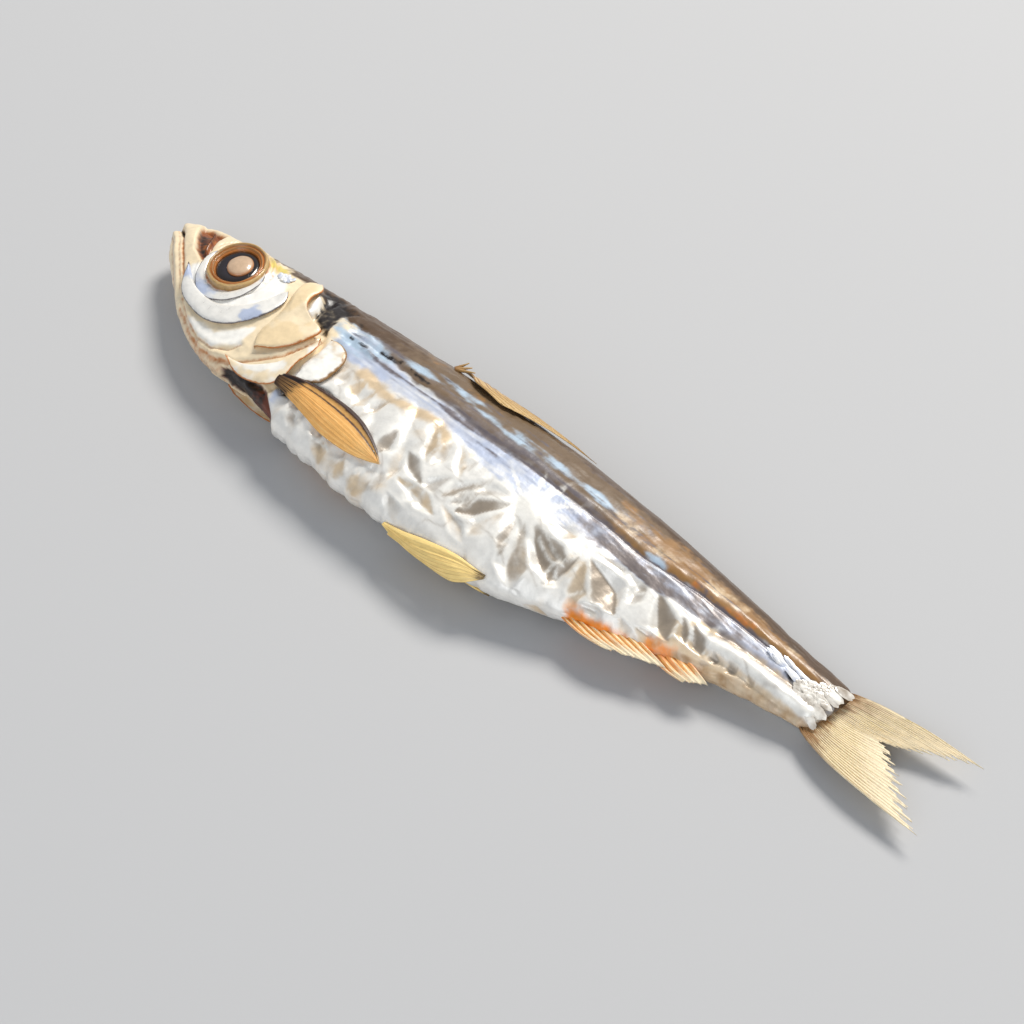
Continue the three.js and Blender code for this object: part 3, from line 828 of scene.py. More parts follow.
def dried_grain_group():
    """Fine fibres and pits of dried skin: a height and a light-and-dark mottle."""
    known = bpy.data.node_groups.get("Dried Grain")
    if known:
        return known
    inputs = {"Place": "NodeSocketVector", "Fibre Scale": 3.0, "Stretch": 6.0, "Mottle Scale": 0.8}
    outputs = dict.fromkeys(("Height", "Mottle", "Fibre"), "NodeSocketFloat")
    group, given, result = new_tree("Dried Grain", "ShaderNodeTree", inputs, outputs)
    split = add_node(group, "ShaderNodeSeparateXYZ", {0: given["Place"]}).outputs
    along = maths(group, "DIVIDE", split[0], given["Stretch"])
    drawn = add_node(group, "ShaderNodeCombineXYZ", {0: along, 1: split[1], 2: split[2]})
    values = {"Vector": drawn.outputs[0], "Scale": given["Fibre Scale"], "Detail": 4.0}
    fibre = add_node(group, "ShaderNodeTexNoise", values)
    values = {"Vector": given["Place"], "Scale": given["Mottle Scale"], "Detail": 6.0, "Roughness": 0.62}
    mottle = add_node(group, "ShaderNodeTexNoise", values)
    pits = add_node(group, "ShaderNodeTexVoronoi", {"Vector": given["Place"], "Scale": 2.6})
    pit_height = maths(group, "MULTIPLY", pits.outputs["Distance"], 0.35)
    height = maths(group, "ADD", fibre.outputs["Fac"], pit_height)
    fill(group, result, {"Height": height, "Mottle": mottle.outputs["Fac"], "Fibre": fibre.outputs["Fac"]})
    return group


SKIN_LAYERS = (
    # mask, colour name, noise scale, breakup, softness
    ("bone", "bone", 0.9, 0.4, 0.45),
    ("cream", "crease", 0.6, 0.9, 0.45),
    ("olive", "olive", 0.6, 0.7, 0.4),
    ("band", "band", 0.5, 0.7, 0.5),
    ("beige", "beige", 0.6, 0.7, 0.5),
    ("grey", "grey", 0.6, 0.4, 0.5),
    ("violet", "violet", 0.7, 0.8, 0.5),
    ("gold", "gold", 0.7, 0.8, 0.45),
    ("rust", "amber", 0.8, 1.0, 0.5),
    ("blob", "beige", 0.9, 0.9, 0.5),
    ("sky", "sky", 0.9, 0.6, 0.5),
    ("glow", "crease", 0.9, 0.6, 0.5),
    ("line", "line", 1.2, 0.9, 0.5),
    ("nape", "nape", 1.0, 0.9, 0.4),
    ("silver", "pearl", 1.0, 0.4, 0.45),
    ("yellow", "yellow", 1.0, 0.8, 0.45),
    ("crease", "crease", 1.6, 0.5, 0.5),
    ("seam", "grey", 0.8, 0.2, 0.5),
    ("ember", "fin_amber", 0.7, 0.9, 0.5),
    ("amber", "amber", 1.3, 0.6, 0.45),
    ("russet", "russet", 1.0, 0.8, 0.5),
    ("dark", "dark", 1.4, 0.8, 0.4),
)


def painted_material(name, base, layers, gloss, metal=0.0, matte=(), grain=(1.6, 5.0, 0.7), depth=0.08):
    """A material that lays colours over each other by the piece's own masks."""
    material, tree, shader = new_material(name)
    place = attribute(tree, "skin_place", "Vector")
    fibre, stretch, mottle = grain
    grain_map = dried_grain_group()
    texture = use_group(
        tree, grain_map, Place=place, Fibre_Scale=fibre, Stretch=stretch, Mottle_Scale=mottle
    )
    edge_map = broken_edge_group()
    colour, masks = base, {}
    for mask, tint, scale, breakup, softness in layers:
        given = {"Mask": attribute(tree, mask), "Scale": scale, "Breakup": breakup, "Softness": softness}
        masks[mask] = use_group(tree, edge_map, Place=place, **given)["Mask"]
        colour = mix_colour(tree, colour, tint, masks[mask])
    shade = maths(tree, "MULTIPLY_ADD", texture["Mottle"], 0.5, 0.74)
    shine = metal
    if matte:
        dull = 0.0
        for mask in matte:
            dull = maths(tree, "MAXIMUM", dull, masks[mask])
        shine = maths(tree, "MULTIPLY", maths(tree, "SUBTRACT", 1.0, dull), metal, clamp=True)
    fill(tree, shader, {
        "Base Color": tinted(tree, colour, shade),
        "Metallic": shine,
        "Roughness": maths(tree, "MULTIPLY_ADD", texture["Mottle"], gloss[1], gloss[0]),
        "Coat Weight": 0.25,
        "Coat Roughness": 0.2,
        "Normal": bump_normal(tree, texture["Height"], depth, 0.7),
    })
    return material


def skin_material(colours):
    layers = [(mask, getattr(colours, tint), *rest) for mask, tint, *rest in SKIN_LAYERS]
    matte = ("amber", "dark", "bone", "nape", "olive", "gold")
    return painted_material("dried_skin", colours.pearl, layers, (0.22, 0.3), 0.2, matte, depth=0.035)


def plate_material(name, middle, streak, rim, metal=0.0, gloss=(0.28, 0.25)):
    """Thin head bone: a middle colour, cloudy streaks and a darker rim."""
    layers = [("streak", streak, 0.5, 1.2, 0.45), ("rim", rim, 1.5, 0.9, 0.4)]
    return painted_material(name, middle, layers, gloss, metal, grain=(1.2, 3.0, 0.6), depth=0.05)


# ---- Thin pieces laid on the skin -------------------------------------------------------


def between(upper, lower, along, across, low_width=0.06):
    """A grid of (s, y) places between two edges that run from root to tip."""
    first, last = smooth_path(upper, along), smooth_path(lower, along)
    v = np.linspace(0, 1, across)[None, :, None]
    grid = first[:, None] * (1 - v) + last[:, None] * v
    middle = grid.mean(1, keepdims=True)
    width = np.linalg.norm(first - last, axis=-1)[:, None, None]
    return np.where(width < low_width, middle + (v - 0.5) * low_width, grid)


def sheet_rings(top, bottom):
    """Closed rings round a thin sheet, from its upper and lower faces."""
    return np.concatenate([top, bottom[:, ::-1]], axis=1)


def sheet_values(values):
    return {key: np.concatenate([field, field[:, ::-1]], axis=1) for key, field in values.items()}


def rim_distance(grid):
    """Distance in the grid from each place to the nearest edge of the sheet."""
    across = np.linalg.norm(grid - grid[:, :1], axis=-1)
    back_across = np.linalg.norm(grid - grid[:, -1:], axis=-1)
    ends = np.minimum(
        np.linalg.norm(grid - grid[:1].mean(1, keepdims=True), axis=-1),
        np.linalg.norm(grid - grid[-1:].mean(1, keepdims=True), axis=-1),
    )
    return np.minimum(np.minimum(across, back_across), ends)


def lay_plate(name, upper, lower, material, side=1, lift=0.25, thick=0.22, crown=0.25, seed=1,
              size=(60, 26), rim_width=0.3, wave=0.06, sunk=0.5):
    """A thin bone plate that rises out of the skin at its upper edge and stands free at its lower."""
    grid = between(upper, lower, *size)
    s, y = grid[..., 0], grid[..., 1]
    v = np.linspace(0, 1, size[1])[None, :] + 0 * s
    edge = rim_distance(grid)
    low_edge = np.linalg.norm(grid - grid[:, -1:], axis=-1)
    body = 1 - np.exp(-edge / 0.35)
    height = lift * v**0.7 - sunk * (1 - step(0.0, 0.3, v)) + crown * body
    height = (
        height + wave * noise(s * 0.9, y * 0.9, seed, 3)
        + 0.5 * wave * noise(s * 2.4, y * 2.4, seed + 1, 2)
    )
    thickness = thick * np.clip(0.25 + body, 0, 1)
    top = off_skin(s, y, height, side)
    bottom = off_skin(s, y, height - thickness, side)
    values = {
        "rim": np.exp(-((low_edge / rim_width) ** 2)),
        "streak": step(-0.1, 0.5, noise(s * 0.35, y * 0.5, seed + 5, 3)),
        "skin_place": np.stack([s, y, np.full(s.shape, SIDE_STEP * side + seed)], -1),
    }
    points, faces, values = loft(sheet_rings(top, bottom), sheet_values(values))
    return add_mesh(name, points, faces, material, values)


CHEEK_UPPER = [
    (7.2, -4.7), (10.3, -6.1), (13.7, -6.8), (16.1, -6.4), (18.0, -5.1), (19.0, -3.4), (19.6, -1.8),
    (20.3, -1.4),
]
CHEEK_LOWER = [
    (7.2, -4.7), (9.6, -7.6), (13.8, -9.2), (16.6, -9.4), (19.0, -8.5), (20.9, -6.4), (21.7, -4.0),
    (21.3, -2.3), (20.3, -1.4),
]
GILL_COVER_FRONT = [
    (21.4, 2.3), (19.6, 1.4), (20.4, -1.2), (21.4, -3.6), (21.7, -5.6), (22.2, -7.8), (23.9, -9.1),
]
GILL_COVER_REAR = [
    (21.4, 2.3), (22.9, 1.2), (23.2, -0.4), (24.2, -1.9), (26.3, -2.9), (28.5, -3.5), (28.0, -5.9),
    (26.3, -8.0), (23.9, -9.1),
]
LOWER_GILL_FRONT = [(21.6, -11.2), (24.2, -10.7), (26.1, -9.5), (27.8, -7.8), (28.6, -5.8), (29.1, -4.1)]
LOWER_GILL_REAR = [
    (21.6, -11.2), (24.4, -12.0), (27.4, -12.0), (29.5, -11.3), (30.1, -9.7), (29.9, -8.1),
    (30.1, -6.6), (30.0, -5.2), (29.1, -4.1),
]
SHOULDER_FRONT = [(30.1, -3.5), (29.8, -5.4), (29.8, -7.5), (31.0, -9.4)]
SHOULDER_REAR = [
    (30.1, -3.5), (31.5, -3.3), (33.1, -3.8), (34.0, -4.9), (34.3, -6.5), (34.1, -8.2), (32.7, -9.2),
    (31.0, -9.4),
]


def eye_ellipse(radius, turns):
    """Places (s, y) round the eye, which is a little longer across the head."""
    out = np.cos(turns - EYE_LEAN) * radius * EYE_STRETCH
    over = np.sin(turns - EYE_LEAN) * radius
    s = EYE_S + out * math.cos(EYE_LEAN) - over * math.sin(EYE_LEAN)
    y = EYE_Y + out * math.sin(EYE_LEAN) + over * math.cos(EYE_LEAN)
    return np.stack([s, y], -1)


def socket_rim():
    """The crescent of pale bone round the lower and rear part of the eye."""
    turns = np.radians(np.linspace(172, 388, 15))
    swell = np.sin(np.linspace(0, math.pi, 15)) ** 0.7
    return eye_ellipse(3.3, turns), eye_ellipse(3.34 + 1.5 * swell, turns)


def build_head_plates(colours):
    silver = plate_material("cheek_silver", colours.pearl, colours.band, colours.line, 0.2, (0.2, 0.2))
    golden = plate_material("gill_cover_gold", colours.cover, colours.bone, colours.amber, 0.0, (0.3, 0.2))
    cream = plate_material("gill_edge_cream", colours.crease, colours.bone, colours.amber)
    shoulder = plate_material("shoulder_cream", colours.crease, colours.beige, colours.gold)
    pieces = []
    inner, outer = socket_rim()
    for side, hand in ((1, "left"), (-1, "right")):
        plates = (
            ("shoulder_plate", SHOULDER_FRONT, SHOULDER_REAR, shoulder,
             dict(lift=0.35, crown=0.25, seed=61, wave=0.1)),
            ("lower_gill_plate", LOWER_GILL_FRONT, LOWER_GILL_REAR, cream,
             dict(lift=0.5, crown=0.2, seed=63, rim_width=0.15)),
            ("gill_cover", GILL_COVER_FRONT, GILL_COVER_REAR, golden,
             dict(lift=0.55, crown=0.35, seed=65, size=(70, 44), rim_width=0.16)),
            ("eye_socket_bone", inner, outer, silver,
             dict(lift=0.22, crown=0.12, seed=67, rim_width=0.08, sunk=0.1)),
            ("cheek_bone", CHEEK_UPPER, CHEEK_LOWER, silver,
             dict(lift=0.4, crown=0.25, seed=69, rim_width=0.11, size=(80, 30))),
        )
        for name, upper, lower, material, shape in plates:
            pieces.append(lay_plate(f"{name}_{hand}", upper, lower, material, side, **shape))
    return pieces


# ---- Eyes -------------------------------------------------------------------------------


def disc_piece(name, node, profile, material, offset=(0.0, 0.0), wobble=0.0, sides=96, seed=1):
    """A turned piece on the eye's axis: profile is a list of (radius, height)."""
    side = 1 if node.endswith("left") else -1
    turn = turn_at(EYE_S, EYE_Y, side)
    axis = skin_normal(np.array(EYE_S), turn)
    along = unit(np.cross(np.array([0, 1.0, 0]), axis) * side)
    across = np.cross(axis, along)
    rim = skin_point(np.array(EYE_S), turn)
    profile = np.asarray(profile, float)
    turns = np.linspace(0, 2 * math.pi, sides, endpoint=False)
    rings, radii = [], []
    for radius, height in profile:
        sway = 1 + wobble * noise(2.2 * np.cos(turns) + 5, 2.2 * np.sin(turns) + radius, seed, 2)
        place = eye_ellipse(radius * sway, turns) - (EYE_S, EYE_Y)
        ripple = noise(3 * np.cos(turns), 3 * np.sin(turns) + radius, seed + 3, 2)
        ring = (
            rim
            + along * (offset[0] + place[:, 0])[:, None]
            + across * (offset[1] + place[:, 1])[:, None]
            + axis * (height + 0.25 * wobble * ripple)[:, None]
        )
        rings.append(ring)
        radii.append(np.full(sides, radius))
    rings = np.array(rings)
    place = np.stack(
        [np.array(radii), np.tile(turns, (len(profile), 1)), np.full(np.shape(radii), seed)], -1
    )
    values = {"radius": np.array(radii), "eye_place": place}
    points, faces, values = loft(rings, values)
    return add_mesh(name, points, faces, material, values)


def arc_profile(radius, base, rise, count=14, inner=0.02):
    """A dome's profile from a low rim up to its crown."""
    turns = np.linspace(0, math.pi / 2, count)
    dome = [(max(radius * math.cos(t), inner), base + rise * math.sin(t)) for t in turns]
    return [(inner, base - 0.3), (radius * 0.96, base - 0.3), *dome]


def ring_profile():
    """Stepped bony rings from the socket's outer edge down to the dark iris."""
    outline = [(3.4, -0.6), (3.45, 0.1), (3.34, 0.4), (3.16, 0.46), (3.02, 0.34), (2.95, 0.22), (2.86, 0.32),
               (2.74, 0.35), (2.64, 0.26), (2.58, 0.14), (2.52, 0.18), (2.46, 0.06), (2.4, -0.2),
               (2.4, -0.7)]
    places = np.linspace(0, 1, len(outline))
    columns = [smooth_curve(places, column)(np.linspace(0, 1, 60)) for column in np.array(outline).T]
    return np.stack(columns, -1)


def eye_ring_material(colours):
    """Bone that changes between amber and gold from ring to ring."""
    material, tree, shader = new_material("eye_ring_bone")
    span = {"Value": attribute(tree, "radius"), "From Min": 2.3, "From Max": 3.55}
    share = add_node(tree, "ShaderNodeMapRange", span).outputs["Result"]
    ramp = add_node(tree, "ShaderNodeValToRGB", {0: share})
    first, *inner, last = (
        (0.0, colours.dark), (0.14, colours.amber), (0.34, colours.gold), (0.46, colours.amber),
        (0.6, colours.gold), (0.82, colours.fin_tan), (1.0, colours.gold),
    )
    for position, colour in inner:
        ramp.color_ramp.elements.new(position).color = (*colour, 1)
    ramp.color_ramp.elements[0].color = (*first[1], 1)
    ramp.color_ramp.elements[-1].color = (*last[1], 1)
    place = attribute(tree, "eye_place", "Vector")
    grain = use_group(tree, dried_grain_group(), Place=place, Fibre_Scale=7.0, Stretch=0.4, Mottle_Scale=2.0)
    shade = maths(tree, "MULTIPLY_ADD", grain["Fibre"], 0.8, 0.58)
    fill(tree, shader, {
        "Base Color": tinted(tree, ramp.outputs[0], shade),
        "Roughness": 0.32,
        "Coat Weight": 0.4,
        "Normal": bump_normal(tree, grain["Height"], 0.05),
    })
    return material


def gloss_material(name, inner, outer, reach, roughness, coat):
    """A glossy disc that shades from an inner to an outer colour along its radius."""
    material, tree, shader = new_material(name)
    span = {"Value": attribute(tree, "radius"), "From Min": reach[0], "From Max": reach[1]}
    share = add_node(tree, "ShaderNodeMapRange", span, interpolation_type="SMOOTHSTEP").outputs["Result"]
    place = attribute(tree, "eye_place", "Vector")
    grain = use_group(tree, dried_grain_group(), Place=place, Mottle_Scale=1.6)
    shade = maths(tree, "MULTIPLY_ADD", grain["Mottle"], 0.5, 0.75)
    fill(tree, shader, {
        "Base Color": tinted(tree, mix_colour(tree, inner, outer, share), shade),
        "Roughness": roughness,
        "Coat Weight": coat,
        "Normal": bump_normal(tree, grain["Height"], 0.02),
    })
    return material


def build_eyes(colours):
    ring_bone = eye_ring_material(colours)
    iris = gloss_material("iris_dark", colours.iris, colours.dark, (1.2, 2.3), 0.22, 0.6)
    lens = gloss_material("clouded_lens", colours.lens, colours.amber, (1.25, 1.62), 0.3, 0.5)
    pieces = []
    for hand in ("left", "right"):
        node = f"eye_{hand}"
        iris_profile = [
            (0.02, -0.75), (2.46, -0.75), (2.5, -0.2), (2.4, 0.0), (2.0, 0.1), (1.6, 0.06), (0.02, 0.04),
        ]
        pieces.append(
            (disc_piece(f"{node}_ring", node, ring_profile(), ring_bone, wobble=0.03, seed=81), node)
        )
        pieces.append((disc_piece(f"{node}_iris", node, iris_profile, iris, seed=83), node))
        lens_profile = arc_profile(1.5, 0.12, 0.55)
        pieces.append(
            (disc_piece(f"{node}_lens", node, lens_profile, lens, (0.3, 0.2), 0.02, seed=85), node)
        )
    return pieces


# ---- Fins -------------------------------------------------------------------------------


def input_key(tree, label):
    return next(i.identifier for i in tree.interface.items_tree if i.name == label and i.in_out == "INPUT")


def apply_nodes(piece, tree, values):
    """Runs a geometry tree on the piece and keeps the result as its plain mesh."""
    modifier = piece.modifiers.new("grow", "NODES")
    modifier.node_group = tree
    for label, value in values.items():
        modifier[input_key(tree, label)] = value
    evaluated = piece.evaluated_get(bpy.context.evaluated_depsgraph_get())
    grown = bpy.data.meshes.new_from_object(evaluated)
    piece.modifiers.remove(modifier)
    piece.data = grown
    return piece


def chain(tree, socket, result, *steps):
    """Leads geometry through nodes of the given kinds and inputs, and out of the tree."""
    for kind, values in steps:
        node = add_node(tree, kind, values)
        tree.links.new(socket, next(i for i in node.inputs if i.type == "GEOMETRY"))
        socket = next(o for o in node.outputs if o.type == "GEOMETRY")
    fill(tree, result, {"Geometry": socket})


def ray_tree():
    """Fin rays: round bars along the edges of a mesh, as thick as its ray_radius."""
    known = bpy.data.node_groups.get("Fin Rays")
    if known:
        return known
    geometry = {"Geometry": "NodeSocketGeometry"}
    inputs = {
        **geometry, "Thickness": 1.0, "Sides": 6, "Wobble": 0.0, "Seed": 1.0,
        "Material": "NodeSocketMaterial",
    }
    tree, given, result = new_tree("Fin Rays", "GeometryNodeTree", inputs, geometry)
    place = add_node(tree, "GeometryNodeInputPosition", {}).outputs[0]
    values = {"Vector": place, "W": given["Seed"], "Scale": 350.0}
    texture = add_node(tree, "ShaderNodeTexNoise", values, noise_dimensions="4D")
    values = {0: texture.outputs["Color"], 1: (0.5, 0.5, 0.5)}
    centred = add_node(tree, "ShaderNodeVectorMath", values, operation="SUBTRACT").outputs[0]
    values = {0: centred, "Scale": given["Wobble"]}
    shift = add_node(tree, "ShaderNodeVectorMath", values, operation="SCALE").outputs[0]
    size = add_node(tree, "GeometryNodeInputNamedAttribute", {"Name": "ray_radius"}, data_type="FLOAT")
    thick = maths(tree, "MULTIPLY", size.outputs["Attribute"], given["Thickness"])
    values = {"Radius": 1.0, "Resolution": given["Sides"]}
    profile = add_node(tree, "GeometryNodeCurvePrimitiveCircle", values).outputs["Curve"]
    bar = {"Profile Curve": profile, "Scale": thick, "Fill Caps": True}
    chain(
        tree, given["Geometry"], result,
        ("GeometryNodeMeshToCurve", {}), ("GeometryNodeSetPosition", {"Offset": shift}),
        ("GeometryNodeCurveToMesh", bar), ("GeometryNodeSetShadeSmooth", {}),
        ("GeometryNodeRealizeInstances", {}), ("GeometryNodeSetMaterial", {"Material": given["Material"]}),
    )
    return tree


def grow_rays(name, lines, radii, material, wobble=0.0, seed=1.0):
    """Fin rays along the lines, an array of (ray, point, xyz) in millimetres."""
    count, steps = lines.shape[:2]
    edges = [(r * steps + k, r * steps + k + 1) for r in range(count) for k in range(steps - 1)]
    share = np.tile(np.linspace(0, 1, steps), (count, 1))
    values = {"ray_radius": radii * MM, "root_to_tip": share}
    piece = add_mesh(name, lines, [], None, values, edges)
    inputs = {"Thickness": 1.0, "Sides": 6, "Wobble": wobble * MM, "Seed": seed, "Material": material}
    return apply_nodes(piece, ray_tree(), inputs)


def fin_material(name, root, middle, tip, edge, end=None):
    """A fin's web: root, middle and tip colours, ray streaks and a dark edge."""
    layers = [
        ("tip", end or tip, 1.0, 0.8, 0.45), ("streak", tip, 0.9, 1.0, 0.5),
        ("root", root, 1.0, 0.8, 0.4), ("rim", edge, 1.5, 0.5, 0.45),
    ]
    return painted_material(name, middle, layers, (0.3, 0.25), grain=(2.4, 8.0, 0.9), depth=0.06)


def ray_material(name, root, tip, reach=1.0):
    """Fin rays that pale from root to tip, with a fine speckle."""
    material, tree, shader = new_material(name)
    speckle = object_noise(tree, 700.0)
    share = maths(tree, "DIVIDE", attribute(tree, "root_to_tip"), reach)
    spread = maths(tree, "MULTIPLY_ADD", maths(tree, "SUBTRACT", speckle, 0.5), 0.5, share)
    colour = mix_colour(tree, root, tip, maths(tree, "MULTIPLY", spread, 1.0, clamp=True))
    fill(tree, shader, {
        "Base Color": tinted(tree, colour, maths(tree, "MULTIPLY_ADD", speckle, 0.7, 0.62)),
        "Roughness": 0.4,
        "Coat Weight": 0.2,
        "Normal": bump_normal(tree, speckle, 0.04),
    })
    return material


PECTORAL_UPPER = [
    (29.6, -9.7), (32.8, -9.1), (35.9, -8.8), (39.6, -8.8), (42.8, -9.3), (46.1, -10.6), (47.5, -11.6),
]
PECTORAL_LOWER = [
    (29.8, -11.1), (33.0, -11.6), (35.9, -12.1), (39.1, -12.6), (43.2, -12.6), (46.0, -12.1),
    (47.5, -11.6),
]
# The pelvic fins lie along the keel: (s, turn in degrees) of their two edges.
PELVIC_UPPER = {1: [(52.0, 177), (54.5, 172), (58.0, 163), (62.0, 157), (65.8, 160)],
                -1: [(52.5, -172), (55.0, -162), (58.5, -154), (62.0, -151), (65.6, -154)]}
PELVIC_LOWER = {1: [(52.0, 180), (55.0, 183), (59.0, 185), (62.8, 181), (65.8, 166)],
                -1: [(52.5, -168), (55.0, -152), (59.0, -140), (62.6, -142), (65.6, -151)]}


def leaf_fin(name, grid, turns, materials, side, lift, arch, rays, seed, flare=0.0, tip_from=0.6):
    """A folded, leaf-shaped fin: a ridged membrane sheet with its rays lying on it."""
    s = grid[..., 0]
    size = s.shape
    u = np.linspace(0, 1, size[0])[:, None] + 0 * s
    v = np.linspace(0, 1, size[1])[None, :] + 0 * s
    ridges = 0.025 * np.cos(2 * math.pi * rays * v) * np.sin(math.pi * np.clip(u, 0.02, 1)) ** 0.5
    vault = arch * np.sin(math.pi * v) * np.sin(math.pi * (0.15 + 0.85 * u))
    fold = 0.5 * arch * bump(v - 0.1, 0.09) - 0.35 * arch * bump(v - 0.24, 0.06)
    height = (
        lift + vault + ridges + fold * np.sin(math.pi * np.clip(u, 0, 1)) ** 0.5
        + 0.08 * noise(u * 6, v * 2, seed, 2)
    )
    out = np.array([0.0, -1.0, 0.15]) * (flare * v * np.sin(math.pi * u) ** 0.7)[..., None]
    top = skin_point(s, turns) + skin_normal(s, turns) * height[..., None] + out
    bottom = skin_point(s, turns) + skin_normal(s, turns) * (height - 0.2)[..., None] + out
    stripes = (
        (0.5 + 0.5 * np.cos(2 * math.pi * rays * v + 3 * noise(u * 2, v * 4, seed + 2, 2)))
        * step(0.04, 0.3, u)
    )
    values = {
        "rim": np.clip(step(0.2, 0.1, v) + bump(v - 0.28, 0.04), 0, 1) * step(1.02, 0.9, u),
        "root": step(0.26, 0.14, u + 0.06 * v), "tip": step(tip_from, 1.0, u), "streak": 0.45 * stripes,
        "skin_place": np.stack([s, v * 8, np.full(s.shape, SIDE_STEP * side + seed)], -1),
    }
    points, faces, values = loft(sheet_rings(top, bottom), sheet_values(values))
    sheet = add_mesh(f"{name}_membrane", points, faces, materials[0], values)
    columns = np.linspace(0.34 * size[1], size[1] - 3, rays).astype(int)
    lines = top[::3][:, columns].transpose(1, 0, 2)
    taper = 0.05 * (1 - 0.75 * np.linspace(0, 1, lines.shape[1]))[None] + 0 * lines[..., 0]
    bars = grow_rays(f"{name}_rays", lines, taper, materials[1], 0.06, seed)
    return sheet, bars


def build_paired_fins(colours):
    amber = fin_material(
        "pectoral_membrane", colours.dark, colours.fin_orange, colours.fin_tip, colours.fin_edge
    )
    amber_rays = ray_material("pectoral_rays", colours.fin_edge, colours.fin_orange, 0.3)
    gold = fin_material(
        "pelvic_membrane", colours.fin_gold, colours.fin_gold, colours.fin_gold, colours.fin_gold,
        colours.fin_edge
    )
    gold_rays = ray_material("pelvic_rays", colours.fin_gold, colours.fin_tan)
    pieces = []
    for side, hand in ((1, "left"), (-1, "right")):
        grid = between(PECTORAL_UPPER, PECTORAL_LOWER, 90, 34)
        turns = turn_at(grid[..., 0], grid[..., 1], side)
        pectoral = leaf_fin(f"pectoral_{hand}", grid, turns, (amber, amber_rays), side, 0.45, 0.5, 9, 91)
        grid = between(PELVIC_UPPER[side], PELVIC_LOWER[side], 80, 28, 0.8)
        turns = np.radians(grid[..., 1])
        pelvic = leaf_fin(
            f"pelvic_{hand}", grid, turns, (gold, gold_rays), side, 0.35, 0.3, 6, 93,
            1.1 if side > 0 else 0.0, 0.88
        )
        pieces += [(part, f"pectoral_fin_{hand}", "amber_fin") for part in pectoral]
        pieces += [(part, f"pelvic_fin_{hand}", "golden_fin") for part in pelvic]
    return pieces


def fan_fin(name, place, rays, materials, thick, ray_size, teeth, saw, seed, size=(180, 24)):
    """A web with rays on it; place(share, out) gives the fan's points, root to tip."""
    share = np.linspace(0, 1, size[0])[:, None] + 0 * np.linspace(0, 1, size[1])[None]
    out = np.linspace(0, 1, size[1])[None] + 0 * share
    phase = share * (rays - 1)
    tooth = np.abs(2 * share - 1) * teeth % 1.0
    trim = 1 - saw * (1 - tooth) - 0.03 * (0.5 - 0.5 * np.cos(2 * math.pi * phase))
    mid = place(share, out * trim)
    ridges = np.cos(2 * math.pi * phase)
    mid[..., 2] += 0.3 * thick * ridges
    shift = np.stack([0 * out, 0 * out, thick * (1 - 0.7 * out)], -1)
    values = {
        "rim": step(-0.4, -1.0, ridges) * step(0.05, 0.2, out) * step(1.0, 0.5, out),
        "root": step(0.3, 0.0, out + 0.12 * noise(share * 14, out, seed, 2)),
        "tip": step(0.35, 0.95, out), "streak": 0.7 * step(0.2, 1.0, ridges),
        "skin_place": np.stack([out * 16, share * 24, 0 * share + seed], -1),
    }
    points, faces, values = loft(sheet_rings(mid + shift, mid - shift), sheet_values(values))
    sheet = add_mesh(f"{name}_membrane", points, faces, materials[0], values)
    ray = np.linspace(0, 1, rays)[:, None]
    run = np.linspace(0, 1, 26)[None]
    reach = (
        1 - saw * (1 - np.abs(2 * ray - 1) * teeth % 1.0) * 0.75
        + 0.03 * noise(ray * 37, 0 * run, seed + 1, 1)
    )
    lines = place(ray + 0 * run, run * reach)
    radii = ray_size * (1 - 0.75 * run**0.8) * (1 + 0.25 * noise(ray * 53, 0 * run, seed + 2, 1))
    bars = grow_rays(f"{name}_rays", lines, radii, materials[1], 0.08, float(seed))
    return sheet, bars


def build_dorsal_fin(colours):
    """The back fin, folded flat on the flank, with its first spine standing up."""

    def place(share, out):
        s = 41.5 + 12.0 * share + (9.0 - 0.5 * share) * out
        wide = np.sin(math.pi * np.clip(0.08 + 0.9 * (s - 41) / 21, 0, 1)) ** 0.5
        turn = np.radians(20 + 23 * (1 - share) ** 1.2 * wide * step(0.0, 0.5, out))
        lift = 0.25 + 0.5 * wide * (1 - share * 0.4) * np.sin(math.pi * np.clip(out, 0.1, 0.9))
        return skin_point(s, turn) + skin_normal(s, turn) * lift[..., None]

    web = fin_material("dorsal_membrane", colours.olive, colours.fin_tan, colours.fin_tan, colours.fin_brown)
    rays = ray_material("dorsal_rays", colours.fin_brown, colours.fin_tan)
    sheet, bars = fan_fin("dorsal", place, 11, (web, rays), 0.1, 0.15, 1, 0.0, 95)
    rise = np.linspace(0, 1, 12)
    lines = []
    for k in range(3):
        s = 41.0 + 0.25 * k + (0.9 + 0.7 * k) * rise
        base = skin_point(s, np.full(12, math.radians(24 + 2 * k)))
        lines.append(base + np.stack([0 * rise, (1.2 - 0.3 * k) * rise, 0.6 * rise], -1))
    lines = np.array(lines)
    radii = 0.26 * (1 - 0.8 * rise)[None] + 0 * lines[..., 0]
    spines = grow_rays("dorsal_spines", lines, radii, rays, 0.1, 5.0)
    return sheet, bars, spines


ANAL_BUNDLES = (
    # first and last root, first and last tip along s, droop of first and last tip, rays
    ("front", (73.4, 80.8), (80.6, 87.0), (2.7, 2.2), 9, 0.2),
    ("rear", (83.0, 86.4), (89.2, 91.4), (2.7, 1.9), 5, 0.24),
)


